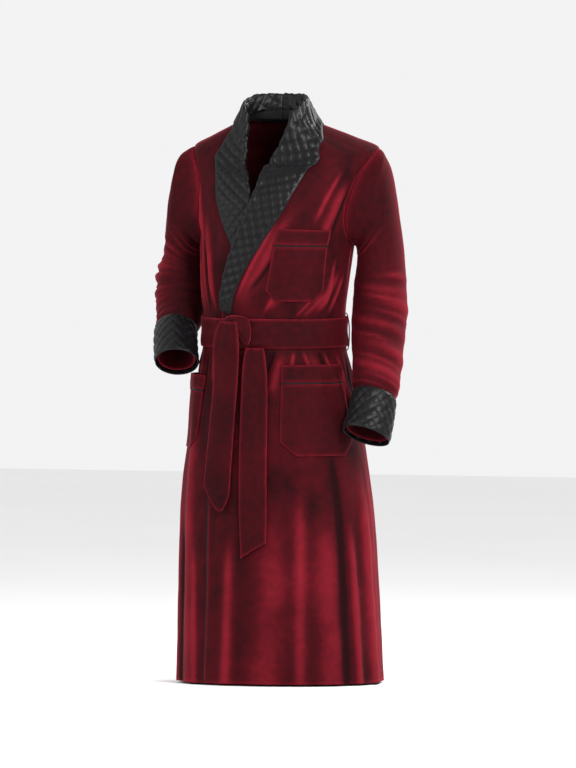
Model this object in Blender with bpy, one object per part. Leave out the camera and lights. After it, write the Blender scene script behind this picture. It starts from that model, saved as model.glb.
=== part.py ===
"""Full-length smoking jacket: a velvet wrap robe with quilted shawl collar and cuffs.

Metres, +Z up. The garment faces -Y and the wearer's left is +X. The origin is
at the base of the neck, where the wearer carries it. Every panel is a cloth wall
on one body form: a point of it has an angle round the body, from the centre
front, positive to the wearer's left, and a height.
"""

import math

import bmesh
import bpy
from mathutils import Vector

OBJECT_NAME = "smoking_jacket"

# Cloth and seams
VELVET = 0.0020
SATIN = 0.0024
QUILT_RISE = 0.0016
SEAM_GAP = 0.0003
LAYER_GAP = 0.0004
OVERLAY_GAP = 0.0022
POCKET_GAP = 0.0032
POCKET_SEAM_GAP = {"breast": 0.0021, "left": 0.0032, "right": 0.0010}
STRIP_GAP = 0.0040
FOLD_CLEARANCE = 0.0026
COLLAR_GAP = 0.0041
SEAM_HALF_ANGLE = 0.08
ROUNDNESS = 0.93

# Driving sizes
HEM = -1.307
NECKLINE = 0.014
ARMHOLE_LOW = -0.270
ARMHOLE_TOP = -0.055
ARMHOLE_INSET = 28.0
BELT_TOP = -0.449
BELT_LOW = -0.519
WRAP_HIGH = 0.0176
WRAP_WAIST = 0.0092
WRAP_LOW = 0.0032
WRAP_RISE = (-0.440, -0.395)
WRAP_SETTLE = (-0.640, -0.530)
WRAP_FADE = (28.0, 66.0)
WRAP_EDGE_STEP = (-44.0, -31.0)
HIP_SEAM = 98.0
ARMHOLE_SEAM = 90.0
HIP = -0.600

# Folds and wrinkles
FOLD_REACH = 2.6
FOLD_FADE = 0.3
WRINKLE_SLANT = 0.0035

# Rows and columns of the panels, heights in metres
FRONT_LEFT_COLUMNS = 22
FRONT_RIGHT_COLUMNS = 18
BACK_COLUMNS = 16
SKIRT_ROWS = 8
WAIST_HEIGHTS = (-0.560, -0.521, -0.485, -0.447, -0.405, -0.360, -0.312)
NECK_HEIGHTS = (-0.040, -0.026, -0.012, 0.0, 0.008, NECKLINE)
LONGEST_ROW_STEP = 0.025

# Collar
COLLAR_ROWS = 38
COLLAR_SHARES = (0.12, 0.30, 0.48, 0.66, 0.83, 1.0)
FOLD_COLUMN = 2
FALL_CURVE = 1.35
STRIP_WIDTH = 0.012
STRIP_LARGEST_SHARE = 0.35

# Sleeves and cuffs
SLEEVE_COLUMNS = 20
SLEEVE_PLACES = {
    "left": (1.0, 2.0, 3.0, 4.0, 5.0, 5.6, 6.1, 6.7, 7.15, 7.6, 8.1, 8.6, 9.1, 9.5, 10.0, 10.5, 11.0, 12.8),
    "right": (1.0, 2.0, 3.0, 4.0, 4.7, 5.15, 5.45, 5.75, 6.05, 6.4, 6.75, 7.1, 7.5, 7.9, 8.4, 9.0, 10.8),
}
SLEEVE_SEAM_GAP = 0.00097
CUFF_START = {"left": 10.85, "right": 8.85}
CUFF_ROWS = 6
CUFF_CLEARANCE = 0.0017
CUFF_FLARE = 0.0030

# Pockets and piping
POCKET_WALL = 0.0018
BAND_WALL = 0.0024
POCKET_COLUMNS = 9
POCKET_ROWS = 6
POCKET_BULGE_CURVE = 0.8
CORNER_CUT = 0.10
CORNER_RISE = 0.075
PIPING_RADIUS = 0.0016
PIPING_GAP = 0.0008
PIPING_ROWS = 22
PIPING_BELT_CLEARANCE = 0.004
PIPING_HEM_CLEARANCE = 0.001

# Belt
BELT_COLUMNS = 60
BELT_WALL = 0.0030
BELT_CROWN = 0.0012
BELT_END_ROWS = 13
BELT_END_COLUMNS = 4
BELT_END_CROWN = 0.0010
KNOT = (-26.5, -3.0, -0.441, -0.517)
KNOT_STEPS = 8
KNOT_GAP = 0.0018
KNOT_RISE = 0.015
KNOT_TURNS = 0.0022
KNOT_FULLNESS = 0.45
LOOP_ROWS = 7
LOOP_HALF_ANGLE = 1.6
LOOP_INSET = 0.010
LOOP_STAND = 0.0092
LOOP_WALL = 0.0018

VELVET_COLOUR = (0.085, 0.006, 0.012)
SATIN_COLOUR = (0.012, 0.011, 0.013)
PIPING_COLOUR = (0.006, 0.006, 0.007)

# height, half width, front depth, back depth, shift X, shift Y, front drop, back drop
BODY_RINGS = (
    (-1.307, 0.238, 0.180, 0.185, 0.000, -0.007, 0.000, 0.000),
    (-1.100, 0.231, 0.173, 0.178, -0.002, -0.009, 0.000, 0.000),
    (-0.900, 0.222, 0.166, 0.170, -0.005, -0.011, 0.000, 0.000),
    (-0.800, 0.211, 0.160, 0.166, -0.007, -0.013, 0.000, 0.000),
    (-0.680, 0.194, 0.151, 0.158, -0.008, -0.015, 0.000, 0.000),
    (-0.580, 0.177, 0.139, 0.148, -0.009, -0.017, 0.000, 0.000),
    (-0.520, 0.168, 0.132, 0.138, -0.010, -0.019, 0.000, 0.000),
    (-0.485, 0.166, 0.130, 0.134, -0.010, -0.020, 0.000, 0.000),
    (-0.450, 0.166, 0.131, 0.134, -0.010, -0.019, 0.000, 0.000),
    (-0.370, 0.172, 0.138, 0.138, -0.009, -0.012, 0.000, 0.000),
    (-0.270, 0.180, 0.145, 0.142, -0.006, 0.000, 0.000, 0.000),
    (-0.190, 0.195, 0.143, 0.140, -0.002, 0.012, 0.000, 0.000),
    (-0.120, 0.210, 0.130, 0.130, 0.003, 0.025, 0.006, 0.000),
    (-0.055, 0.222, 0.111, 0.095, 0.005, 0.035, 0.040, 0.010),
    (-0.028, 0.170, 0.088, 0.080, 0.000, 0.022, 0.032, 0.008),
    (-0.004, 0.115, 0.068, 0.068, -0.005, 0.004, 0.026, 0.004),
    (0.014, 0.074, 0.054, 0.060, -0.010, -0.010, 0.022, 0.000),
)

# Opening edge of the wearer's left front: height, angle
LEFT_EDGE = (
    (-1.307, -33.5),
    (-1.050, -32.0),
    (-0.850, -32.0),
    (-0.640, -35.5),
    (-0.520, -33.5),
    (-0.432, -29.3),
    (-0.354, -23.8),
    (-0.293, -18.0),
    (-0.190, -6.8),
    (-0.153, -4.3),
    (-0.048, 0.5),
    (-0.015, 11.0),
    (0.004, 26.0),
    (0.014, 42.0),
)

# Opening edge of the wearer's right front, which lies under the left: height, angle
RIGHT_EDGE = (
    (-1.307, 20.0),
    (-0.600, 20.0),
    (-0.440, 19.0),
    (-0.360, 13.0),
    (-0.300, 5.0),
    (-0.250, -1.0),
    (-0.188, -7.9),
    (-0.129, -13.0),
    (-0.036, -20.0),
    (-0.010, -28.0),
    (0.004, -37.0),
    (0.014, -52.0),
)

# Collar stations: place along, fold angle, fold height, edge angle, edge height, rise
LEFT_COLLAR = (
    (0.00, 180.0, 0.014, 180.0, -0.034, 0.050),
    (0.06, 140.0, 0.014, 142.0, -0.026, 0.050),
    (0.11, 104.0, 0.014, 106.0, -0.010, 0.047),
    (0.16, 74.0, 0.014, 79.0, -0.005, 0.040),
    (0.21, 52.0, 0.014, 60.0, -0.011, 0.026),
    (0.25, 38.0, 0.011, 45.7, -0.021, 0.013),
    (0.29, 10.5, -0.016, 32.0, -0.042, 0.004),
    (0.34, 4.0, -0.032, 26.0, -0.080, 0.002),
    (0.40, 0.5, -0.060, 21.0, -0.124, 0.000),
    (0.49, -4.3, -0.150, 14.8, -0.188, 0.000),
    (0.61, -12.5, -0.240, 2.6, -0.272, 0.000),
    (0.73, -20.0, -0.312, -6.5, -0.328, 0.000),
    (0.86, -26.0, -0.382, -15.6, -0.392, 0.000),
    (1.00, -29.3, -0.432, -20.4, -0.438, 0.000),
)

RIGHT_COLLAR = (
    (0.00, -180.0, 0.014, -180.0, -0.034, 0.050),
    (0.06, -140.0, 0.014, -142.0, -0.028, 0.048),
    (0.12, -104.0, 0.014, -106.0, -0.014, 0.040),
    (0.18, -76.0, 0.014, -81.0, -0.009, 0.030),
    (0.24, -52.0, 0.014, -62.4, -0.012, 0.018),
    (0.29, -40.0, 0.006, -52.0, -0.026, 0.009),
    (0.35, -24.0, -0.020, -43.8, -0.046, 0.003),
    (0.43, -16.0, -0.062, -41.6, -0.088, 0.000),
    (0.53, -13.6, -0.120, -38.8, -0.148, 0.000),
    (0.63, -9.4, -0.175, -33.5, -0.207, 0.000),
    (0.72, -4.5, -0.220, -26.8, -0.252, 0.000),
    (0.82, 1.5, -0.270, -17.0, -0.305, 0.000),
    (0.91, 7.6, -0.318, -7.0, -0.348, 0.001),
    (1.00, 14.5, -0.370, 5.0, -0.385, 0.001),
)

# Sleeve stations: place, outer X Y Z, inner X Y Z, half depth
LEFT_SLEEVE = (
    (1.0, 0.241, 0.038, -0.066, 0.183, 0.006, -0.281, 0.076),
    (2.0, 0.260, 0.038, -0.105, 0.184, 0.012, -0.293, 0.074),
    (3.0, 0.272, 0.038, -0.165, 0.183, 0.018, -0.308, 0.071),
    (4.0, 0.281, 0.037, -0.235, 0.181, 0.024, -0.327, 0.068),
    (5.0, 0.289, 0.036, -0.305, 0.178, 0.027, -0.352, 0.066),
    (6.0, 0.294, 0.033, -0.378, 0.175, 0.027, -0.387, 0.066),
    (7.0, 0.2965, 0.025, -0.442, 0.173, 0.022, -0.442, 0.065),
    (8.0, 0.297, 0.008, -0.505, 0.177, 0.000, -0.502, 0.063),
    (9.0, 0.297, -0.017, -0.566, 0.186, -0.022, -0.556, 0.060),
    (10.0, 0.297, -0.040, -0.616, 0.191, -0.044, -0.604, 0.056),
    (11.0, 0.293, -0.056, -0.645, 0.201, -0.062, -0.630, 0.046),
    (12.0, 0.292, -0.080, -0.690, 0.199, -0.086, -0.672, 0.043),
    (13.0, 0.288, -0.102, -0.733, 0.194, -0.108, -0.712, 0.044),
)

RIGHT_SLEEVE = (
    (1.0, -0.234, 0.038, -0.066, -0.195, 0.008, -0.281, 0.076),
    (2.0, -0.254, 0.038, -0.104, -0.196, 0.012, -0.293, 0.074),
    (3.0, -0.270, 0.041, -0.160, -0.197, 0.018, -0.308, 0.071),
    (4.0, -0.283, 0.053, -0.235, -0.196, 0.025, -0.327, 0.068),
    (5.0, -0.295, 0.058, -0.310, -0.194, 0.030, -0.352, 0.065),
    (6.0, -0.308, 0.058, -0.378, -0.193, 0.024, -0.385, 0.061),
    (7.0, -0.304, 0.038, -0.432, -0.194, 0.008, -0.420, 0.056),
    (8.0, -0.294, 0.000, -0.475, -0.199, -0.016, -0.450, 0.050),
    (9.0, -0.288, -0.034, -0.500, -0.204, -0.044, -0.474, 0.042),
    (10.0, -0.275, -0.068, -0.535, -0.194, -0.090, -0.505, 0.041),
    (11.0, -0.259, -0.100, -0.572, -0.183, -0.130, -0.538, 0.041),
)

# Folds of the body: top angle, top height, low angle, low height, half width, depth
BODY_FOLDS = (
    (-52.0, -0.190, -43.0, -0.430, 3.6, 0.0065),
    (-62.0, -0.160, -52.0, -0.440, 3.8, 0.0075),
    (-72.0, -0.230, -62.0, -0.445, 3.6, 0.0060),
    (-58.0, -0.540, -50.0, -1.307, 6.0, 0.0060),
    (-80.0, -0.640, -76.0, -1.307, 7.0, 0.0070),
    (24.0, -0.170, -12.0, -0.430, 4.5, 0.0055),
    (34.0, -0.290, 6.0, -0.445, 4.2, 0.0060),
    (56.0, -0.110, 44.0, -0.300, 5.0, 0.0070),
    (72.0, -0.330, 48.0, -0.445, 4.5, 0.0060),
    (58.0, -0.380, 36.0, -0.447, 3.6, 0.0040),
    (18.0, -0.523, 8.0, -0.640, 4.2, 0.0050),
    (42.0, -0.523, 50.0, -0.640, 4.2, 0.0045),
    (64.0, -0.523, 74.0, -0.760, 4.6, 0.0060),
    (78.0, -0.780, 84.0, -1.307, 7.0, 0.0085),
    (40.0, -0.860, 44.0, -1.307, 9.0, 0.0050),
    (8.0, -0.900, 4.0, -1.307, 9.0, 0.0040),
    (118.0, -0.540, 112.0, -1.307, 7.0, 0.0080),
    (150.0, -0.530, 146.0, -1.307, 8.0, 0.0070),
    (176.0, -0.545, 180.0, -1.307, 8.0, 0.0050),
    (212.0, -0.530, 215.0, -1.307, 8.0, 0.0075),
    (246.0, -0.540, 250.0, -1.307, 7.0, 0.0065),
    (128.0, -0.200, 140.0, -0.440, 5.0, 0.0065),
    (160.0, -0.250, 164.0, -0.442, 5.0, 0.0050),
    (200.0, -0.230, 196.0, -0.442, 5.0, 0.0055),
    (232.0, -0.190, 220.0, -0.440, 5.0, 0.0065),
)

# Sleeve wrinkles: side, place, angle round, half length, half angle, height
SLEEVE_WRINKLES = (
    ("right", 5.45, 20.0, 0.19, 60.0, 0.0062),
    ("right", 6.05, 350.0, 0.19, 60.0, 0.0058),
    ("right", 6.75, 10.0, 0.21, 60.0, 0.0050),
    ("right", 7.50, 0.0, 0.22, 70.0, 0.0050),
    ("right", 4.70, 60.0, 0.22, 50.0, 0.0045),
    ("left", 6.10, 60.0, 0.22, 60.0, 0.0045),
    ("left", 6.75, 20.0, 0.22, 60.0, 0.0050),
    ("left", 7.60, 70.0, 0.20, 65.0, 0.0050),
    ("left", 8.60, 40.0, 0.22, 70.0, 0.0055),
    ("left", 9.50, 60.0, 0.24, 80.0, 0.0060),
    ("left", 5.20, 250.0, 0.24, 60.0, 0.0045),
    ("left", 7.10, 240.0, 0.22, 60.0, 0.0045),
    ("right", 6.30, 200.0, 0.20, 50.0, -0.0020),
)

# Patch pockets: front angle, back angle, top, band low, bottom, stand-off at the mouth
POCKETS = {
    "breast": (12.0, 52.0, -0.240, -0.278, -0.407, 0.003),
    "left": (17.0, 75.0, -0.558, -0.601, -0.771, 0.004),
    "right": (-98.0, -50.0, -0.586, -0.622, -0.757, 0.014),
}
POCKET_NODES = {
    "breast": ("breast_pocket", "breast_band", "breast_piping"),
    "left": ("pocket_left", "band_left", "piping_left"),
    "right": ("pocket_right", "band_right", "piping_right"),
}

# Belt ends: height, left angle, right angle, stand-off
BELT_END_RIGHT = (
    (-0.455, -27.6, -8.5, 0.0248),
    (-0.490, -29.5, -9.0, 0.0268),
    (-0.520, -31.0, -9.6, 0.0225),
    (-0.560, -32.3, -11.2, 0.0140),
    (-0.640, -33.0, -12.8, 0.0100),
    (-0.720, -32.6, -13.3, 0.0095),
    (-0.903, -35.0, -15.8, 0.0095),
)
BELT_END_LEFT = (
    (-0.5176, -8.6, 8.0, 0.0100),
    (-0.600, -9.4, 7.4, 0.0066),
    (-0.720, -9.7, 6.7, 0.0050),
    (-0.850, -9.2, 6.0, 0.0050),
    (-1.012, -8.2, 5.0, 0.0050),
)
# Lowest height of a belt end across its width: share of the width, height
BELT_TIPS = {
    "right": ((0.0, -0.844), (0.75, -0.903), (1.0, -0.868)),
    "left": ((0.0, -1.012), (1.0, -0.974)),
}


def smooth_row(rows, place):
    """Values of a table at a place along its first column, smoothly between its rows."""
    last = len(rows) - 2
    index = 0
    while index < last and place > rows[index + 1][0]:
        index += 1
    low = rows[index]
    high = rows[index + 1]
    before = rows[max(index - 1, 0)]
    after = rows[min(index + 2, len(rows) - 1)]
    span = high[0] - low[0]
    share = min(max((place - low[0]) / span, 0.0), 1.0)
    values = []
    for column in range(1, len(low)):
        here = (high[column] - low[column]) / span
        start = limited_slope(before, low, here, column)
        end = limited_slope(high, after, here, column)
        square = share * share
        cube = square * share
        value = (2 * cube - 3 * square + 1) * low[column]
        value += (cube - 2 * square + share) * span * start
        value += (3 * square - 2 * cube) * high[column]
        value += (cube - square) * span * end
        values.append(value)
    return values


def limited_slope(first, second, here, column):
    """Slope at a shared row that never overshoots: the mean of its two sides, or flat."""
    span = second[0] - first[0]
    if span <= 0.0:
        return here
    other = (second[column] - first[column]) / span
    if other * here <= 0.0:
        return 0.0
    return 2.0 * other * here / (other + here)


def ease(value, start, end):
    """Soft step from 0 at start to 1 at end."""
    share = min(max((value - start) / (end - start), 0.0), 1.0)
    return share * share * (3.0 - 2.0 * share)


def fold_height(angle, height):
    """How far the folds stand out of the body form at a point."""
    total = 0.0
    for top_angle, top, low_angle, low, half_width, depth in BODY_FOLDS:
        if height > top or height < low:
            continue
        share = (top - height) / (top - low)
        middle = top_angle + (low_angle - top_angle) * share
        away = (angle - middle + 180.0) % 360.0 - 180.0
        if abs(away) > FOLD_REACH * half_width:
            continue
        runs_to_hem = low <= HEM
        fade = ease(share, 0.0, FOLD_FADE)
        if not runs_to_hem:
            fade *= 1.0 - ease(share, 1.0 - FOLD_FADE, 1.0)
        total += depth * fade * math.exp(-(away / half_width) ** 2)
    return total


def form_point(angle, height):
    """Point of the smooth body form, without folds."""
    half, front, back, shift_x, shift_y, front_drop, back_drop = smooth_row(BODY_RINGS, height)
    turn = math.radians(angle)
    across = math.sin(turn)
    along = math.cos(turn)
    depth = front if along > 0.0 else back
    drop = front_drop if along > 0.0 else back_drop
    x = shift_x + half * math.copysign(abs(across) ** ROUNDNESS, across)
    y = shift_y - depth * math.copysign(abs(along) ** ROUNDNESS, along)
    z = height - drop * along * along
    return Vector((x, y, z))


def form_normal(angle, height):
    """Outward direction of the smooth body form."""
    step_angle = 1.0
    step_height = 0.016
    upper = min(height + step_height, NECKLINE)
    lower = max(height - step_height, HEM)
    round_body = form_point(angle + step_angle, height) - form_point(angle - step_angle, height)
    up_body = form_point(angle, upper) - form_point(angle, lower)
    return round_body.cross(up_body).normalized()


def body_point(angle, height, lift):
    """Point on the body form, moved out by its folds and a lift."""
    outward = fold_height(angle, height) + lift
    return form_point(angle, height) + form_normal(angle, height) * outward


def wrap_lift(angle, height):
    """Lift of the wearer's left front, which lies over the right front and its collar."""
    high = WRAP_WAIST + (WRAP_HIGH - WRAP_WAIST) * ease(height, *WRAP_RISE)
    level = WRAP_LOW + (high - WRAP_LOW) * ease(height, *WRAP_SETTLE)
    return level * (1.0 - ease(angle, *WRAP_FADE))


def no_lift(angle, height):
    """Lift of what lies on the body form itself."""
    return 0.0


def over_lift(angle, height):
    """Lift of what goes right round on top: over the wrapped front and down beside its edge."""
    if angle > 180.0:
        angle -= 360.0
    return wrap_lift(angle, height) * ease(angle, *WRAP_EDGE_STEP)


def left_edge(height):
    """Angle of the left front's opening edge."""
    return smooth_row(LEFT_EDGE, height)[0]


def right_edge(height):
    """Angle of the right front's opening edge."""
    return smooth_row(RIGHT_EDGE, height)[0]


def seam_angle(height):
    """Angle of the side and shoulder seam."""
    return HIP_SEAM + (ARMHOLE_SEAM - HIP_SEAM) * ease(height, HIP, ARMHOLE_LOW)


def armhole_inset(height):
    """How far the armhole cuts into front and back: a round curve in straight stretches."""
    heights = armhole_heights()
    steps = len(heights) - 1
    for step in range(steps):
        if heights[step] <= height <= heights[step + 1]:
            share = (height - heights[step]) / (heights[step + 1] - heights[step])
            below = math.sin(math.pi * step / steps)
            above = math.sin(math.pi * (step + 1) / steps)
            return ARMHOLE_INSET * (below + (above - below) * share)
    return 0.0


def front_side_edge(height):
    """Angle where a front meets the side seam, the armhole or the shoulder seam."""
    return seam_angle(height) - armhole_inset(height) - SEAM_HALF_ANGLE


def back_side_edge(height):
    """Angle where the back meets the same seams."""
    return seam_angle(height) + armhole_inset(height) + SEAM_HALF_ANGLE


def right_front_side_edge(height):
    """Angle of the right front's edge at the wearer's right side."""
    return -front_side_edge(height)


def right_back_side_edge(height):
    """Angle of the back's edge at the wearer's right side."""
    return 360.0 - back_side_edge(height)


def armhole_heights():
    """Heights of the panel rows beside the armhole, evenly round its edge."""
    middle = (ARMHOLE_LOW + ARMHOLE_TOP) / 2.0
    half = (ARMHOLE_TOP - ARMHOLE_LOW) / 2.0
    steps = SLEEVE_COLUMNS // 4
    return [middle - half * math.cos(math.pi * step / steps) for step in range(steps + 1)]


def panel_heights():
    """Heights of all rows of the long panels, from the hem to the neckline."""
    rows = spaced(HEM, WAIST_HEIGHTS[0], SKIRT_ROWS)[:-1]
    rows += WAIST_HEIGHTS
    beside = armhole_heights()
    for low, high in zip(beside, beside[1:]):
        rows.append(low)
        if high - low > LONGEST_ROW_STEP:
            rows.append((low + high) / 2.0)
    rows.append(beside[-1])
    rows += NECK_HEIGHTS
    return rows


def spaced(start, end, count):
    """Evenly spaced values from start to end, both included."""
    return [start + (end - start) * step / count for step in range(count + 1)]


def grid_normals(grid, closed):
    """Directions across a grid that halve its turn at each point. Closed runs round a row."""
    rows = len(grid)
    columns = len(grid[0])
    normals = []
    for row in range(rows):
        line = []
        for column in range(columns):
            if closed:
                left = grid[row][(column - 1) % columns]
                right = grid[row][(column + 1) % columns]
            else:
                left = grid[row][max(column - 1, 0)]
                right = grid[row][min(column + 1, columns - 1)]
            low = grid[max(row - 1, 0)][column]
            high = grid[min(row + 1, rows - 1)][column]
            here = grid[row][column]
            across = (right - here).normalized() + (here - left).normalized()
            along = (high - here).normalized() + (here - low).normalized()
            line.append(across.cross(along).normalized())
        normals.append(line)
    return normals


def moved_grid(grid, normals, thickness):
    """The grid moved along its directions by a number or by a function of row and column."""
    moved = []
    for row, line in enumerate(grid):
        out = []
        for column, point in enumerate(line):
            amount = thickness(row, column) if callable(thickness) else thickness
            out.append(point + normals[row][column] * amount)
        moved.append(out)
    return moved


def add_quad(bm, corners, row, column):
    """Two triangles over four corners, split so that the diagonals make diamonds."""
    a, b, c, d = corners
    if (row + column) % 2 == 0:
        triangles = ((a, b, c), (a, c, d))
    else:
        triangles = ((a, b, d), (b, c, d))
    for triangle in triangles:
        if len(set(triangle)) == 3:
            bm.faces.new(triangle)


def make_material(name, colour, roughness):
    """Plain Principled material."""
    material = bpy.data.materials.new(name)
    material.use_nodes = True
    shader = material.node_tree.nodes["Principled BSDF"]
    shader.inputs["Base Color"].default_value = (*colour, 1.0)
    shader.inputs["Roughness"].default_value = roughness
    material.diffuse_color = (*colour, 1.0)
    return material


def finish_object(name, bm, colour, roughness=0.8):
    """Object of a closed body in the jacket's collection, facing out, shaded smooth."""
    bmesh.ops.recalc_face_normals(bm, faces=bm.faces)
    if bm.calc_volume(signed=True) < 0.0:
        bmesh.ops.reverse_faces(bm, faces=bm.faces)
    mesh = bpy.data.meshes.new(name)
    bm.to_mesh(mesh)
    bm.free()
    for polygon in mesh.polygons:
        polygon.use_smooth = True
    piece = bpy.data.objects.new(name, mesh)
    piece.data.materials.append(make_material(name, colour, roughness))
    bpy.data.collections[OBJECT_NAME].objects.link(piece)
    return piece


def wall(name, outer, inner, colour, closed=False, ends_joined=False):
    """Closed cloth wall between two grids of the same shape.

    closed joins the last column to the first. ends_joined joins the last row to the first.
    """
    bm = bmesh.new()
    outer_points = [[bm.verts.new(point) for point in line] for line in outer]
    inner_points = [[bm.verts.new(point) for point in line] for line in inner]
    rows = len(outer)
    columns = len(outer[0])
    row_count = rows if ends_joined else rows - 1
    column_count = columns if closed else columns - 1
    for row in range(row_count):
        for column in range(column_count):
            places = ((row, column), (row, column + 1), (row + 1, column + 1), (row + 1, column))
            places = [(place[0] % rows, place[1] % columns) for place in places]
            add_quad(bm, [outer_points[r][c] for r, c in places], row, column)
            back = [inner_points[r][c] for r, c in places]
            add_quad(bm, back, row, column)
    if not ends_joined:
        for row in (0, rows - 1):
            for column in range(column_count):
                following = (column + 1) % columns
                corners = (
                    outer_points[row][column],
                    outer_points[row][following],
                    inner_points[row][following],
                    inner_points[row][column],
                )
                add_quad(bm, corners, row, column)
    if not closed:
        for column in (0, columns - 1):
            for row in range(row_count):
                following = (row + 1) % rows
                corners = (
                    outer_points[row][column],
                    outer_points[following][column],
                    inner_points[following][column],
                    inner_points[row][column],
                )
                add_quad(bm, corners, row, column)
    return finish_object(name, bm, colour)


def tube(name, route, radius, colour, sides=6):
    """Closed cord along a route of (point, outward direction) pairs."""
    bm = bmesh.new()
    rings = []
    for index, (point, outward) in enumerate(route):
        ahead = route[min(index + 1, len(route) - 1)][0]
        behind = route[max(index - 1, 0)][0]
        forward = (ahead - behind).normalized()
        side = forward.cross(outward).normalized()
        up = side.cross(forward).normalized()
        ring = []
        for step in range(sides):
            turn = 2.0 * math.pi * step / sides
            ring.append(bm.verts.new(point + side * math.cos(turn) * radius + up * math.sin(turn) * radius))
        rings.append(ring)
    for index in range(len(rings) - 1):
        for step in range(sides):
            following = (step + 1) % sides
            corners = (
                rings[index][step],
                rings[index][following],
                rings[index + 1][following],
                rings[index + 1][step],
            )
            add_quad(bm, corners, index, step)
    for ring in (rings[0], rings[-1]):
        centre = bm.verts.new(sum((vert.co for vert in ring), Vector()) / sides)
        for step in range(sides):
            bm.faces.new((ring[step], ring[(step + 1) % sides], centre))
    return finish_object(name, bm, colour)


def panel(name, edge_from, edge_to, columns, lift):
    """Long velvet panel between two edges that follow the height."""
    inner = []
    outer = []
    for height in panel_heights():
        angles = spaced(edge_from(height), edge_to(height), columns)
        inner.append([body_point(angle, height, lift(angle, height)) for angle in angles])
        outer.append([body_point(angle, height, lift(angle, height) + VELVET) for angle in angles])
    return wall(name, outer, inner, VELVET_COLOUR)


def make_panels():
    """Back, left front and right front."""
    panel("front_left", left_edge, front_side_edge, FRONT_LEFT_COLUMNS, wrap_lift)
    panel("front_right", right_front_side_edge, right_edge, FRONT_RIGHT_COLUMNS, no_lift)
    panel("back", back_side_edge, right_back_side_edge, BACK_COLUMNS, no_lift)


def collar_base(station, share, lift, side_lift):
    """Point of a collar: share 0 is the fold line, 1 the outer edge."""
    fold_angle, fold_at, edge_angle, edge_at = station[:4]
    angle = fold_angle + (edge_angle - fold_angle) * share
    height = min(fold_at + (edge_at - fold_at) * share, NECKLINE)
    return body_point(angle, height, side_lift(angle, height) + lift)


def collar_section(station, side_lift):
    """Under side of one section: strip inside the panel, stand, fold and fall."""
    rise = station[4]
    start = collar_base(station, 0.0, 0.0, side_lift)
    end = collar_base(station, 1.0, 0.0, side_lift)
    width = (end - start).length
    outward = (end - start) / width
    up = Vector((0.0, 0.0, 1.0))
    clear = outward * -FOLD_CLEARANCE
    strip_share = min(STRIP_WIDTH / width, STRIP_LARGEST_SHARE)
    above = VELVET + COLLAR_GAP
    points = [
        collar_base(station, strip_share, -STRIP_GAP, side_lift),
        collar_base(station, 0.0, -STRIP_GAP, side_lift) + clear,
        collar_base(station, 0.0, above, side_lift) + clear + up * rise,
    ]
    for share in COLLAR_SHARES:
        drop = (1.0 - share) ** FALL_CURVE
        points.append(collar_base(station, share, above, side_lift) + up * rise * drop)
    return points


def collar_station(stations, place, edge):
    """Row of a collar's table, with its fold on the front's opening edge."""
    row = smooth_row(stations, place)
    if row[1] < NECKLINE:
        row[0] = edge(row[1])
    return row


def make_collar(name, stations, edge, side_lift, mirrored):
    """Quilted half collar from the centre back to the waist."""
    half_gap = Vector((0.5 * SEAM_GAP, 0.0, 0.0))
    if mirrored:
        half_gap = -half_gap
    under = []
    for place in spaced(0.0, 1.0, COLLAR_ROWS):
        section = collar_section(collar_station(stations, place, edge), side_lift)
        if place == 0.0:
            section = [Vector((centre_back_x(), point.y, point.z)) + half_gap for point in section]
        under.append(section)
    normals = grid_normals(under, False)
    sign = 1.0 if mirrored else -1.0
    for line in normals:
        for column, normal in enumerate(line):
            line[column] = normal * sign
    for column, normal in enumerate(normals[0]):
        flat = Vector((0.0, normal.y, normal.z))
        normals[0][column] = flat.normalized()

    def thickness(row, column):
        """Satin, with the middles of the diamonds raised."""
        raised = column > FOLD_COLUMN and column < len(COLLAR_SHARES) + FOLD_COLUMN
        if raised and (row + column) % 2 == 1:
            return SATIN + QUILT_RISE
        return SATIN

    outer = moved_grid(under, normals, thickness)
    return wall(name, outer, under, SATIN_COLOUR)


def centre_back_x():
    """X of the centre back at the neckline."""
    return form_point(180.0, NECKLINE).x


def sleeve_section(side, place):
    """Middle, outer direction, depth direction and half sizes of a sleeve at a place."""
    stations = LEFT_SLEEVE if side == "left" else RIGHT_SLEEVE
    step = 0.8
    first = stations[0][0]
    last = stations[-1][0]

    def middle_at(where):
        """Middle of the section."""
        row = smooth_row(stations, min(max(where, first), last))
        return (Vector(row[0:3]) + Vector(row[3:6])) / 2.0

    row = smooth_row(stations, place)
    outer = Vector(row[0:3])
    inner = Vector(row[3:6])
    forward = (middle_at(place + step) - middle_at(place - step)).normalized()
    across = (outer - inner) / 2.0
    depth = across.cross(forward).normalized()
    if depth.y > 0.0:
        depth = -depth
    return (outer + inner) / 2.0, across, depth * row[6]


def wrinkle_height(side, place, turn):
    """How far the wrinkles of a sleeve stand out at a place and an angle round it."""
    total = 0.0
    for wrinkle_side, at, angle, half_length, half_angle, height in SLEEVE_WRINKLES:
        if wrinkle_side != side:
            continue
        round_away = (turn - angle + 180.0) % 360.0 - 180.0
        along_away = place - at + WRINKLE_SLANT * round_away
        share = math.exp(-(along_away / half_length) ** 2 - (round_away / half_angle) ** 2)
        total += height * share
    return total


def sleeve_ring(side, place, lift):
    """Ring of a sleeve: starts at its outer line and runs to the front."""
    middle, across, depth = sleeve_section(side, place)
    ring = []
    for column in range(SLEEVE_COLUMNS):
        turn = 360.0 * column / SLEEVE_COLUMNS
        angle = math.radians(turn)
        arm = across * math.cos(angle) + depth * math.sin(angle)
        outward = arm.normalized()
        ring.append(middle + arm + outward * (lift + wrinkle_height(side, place, turn)))
    return ring


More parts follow.
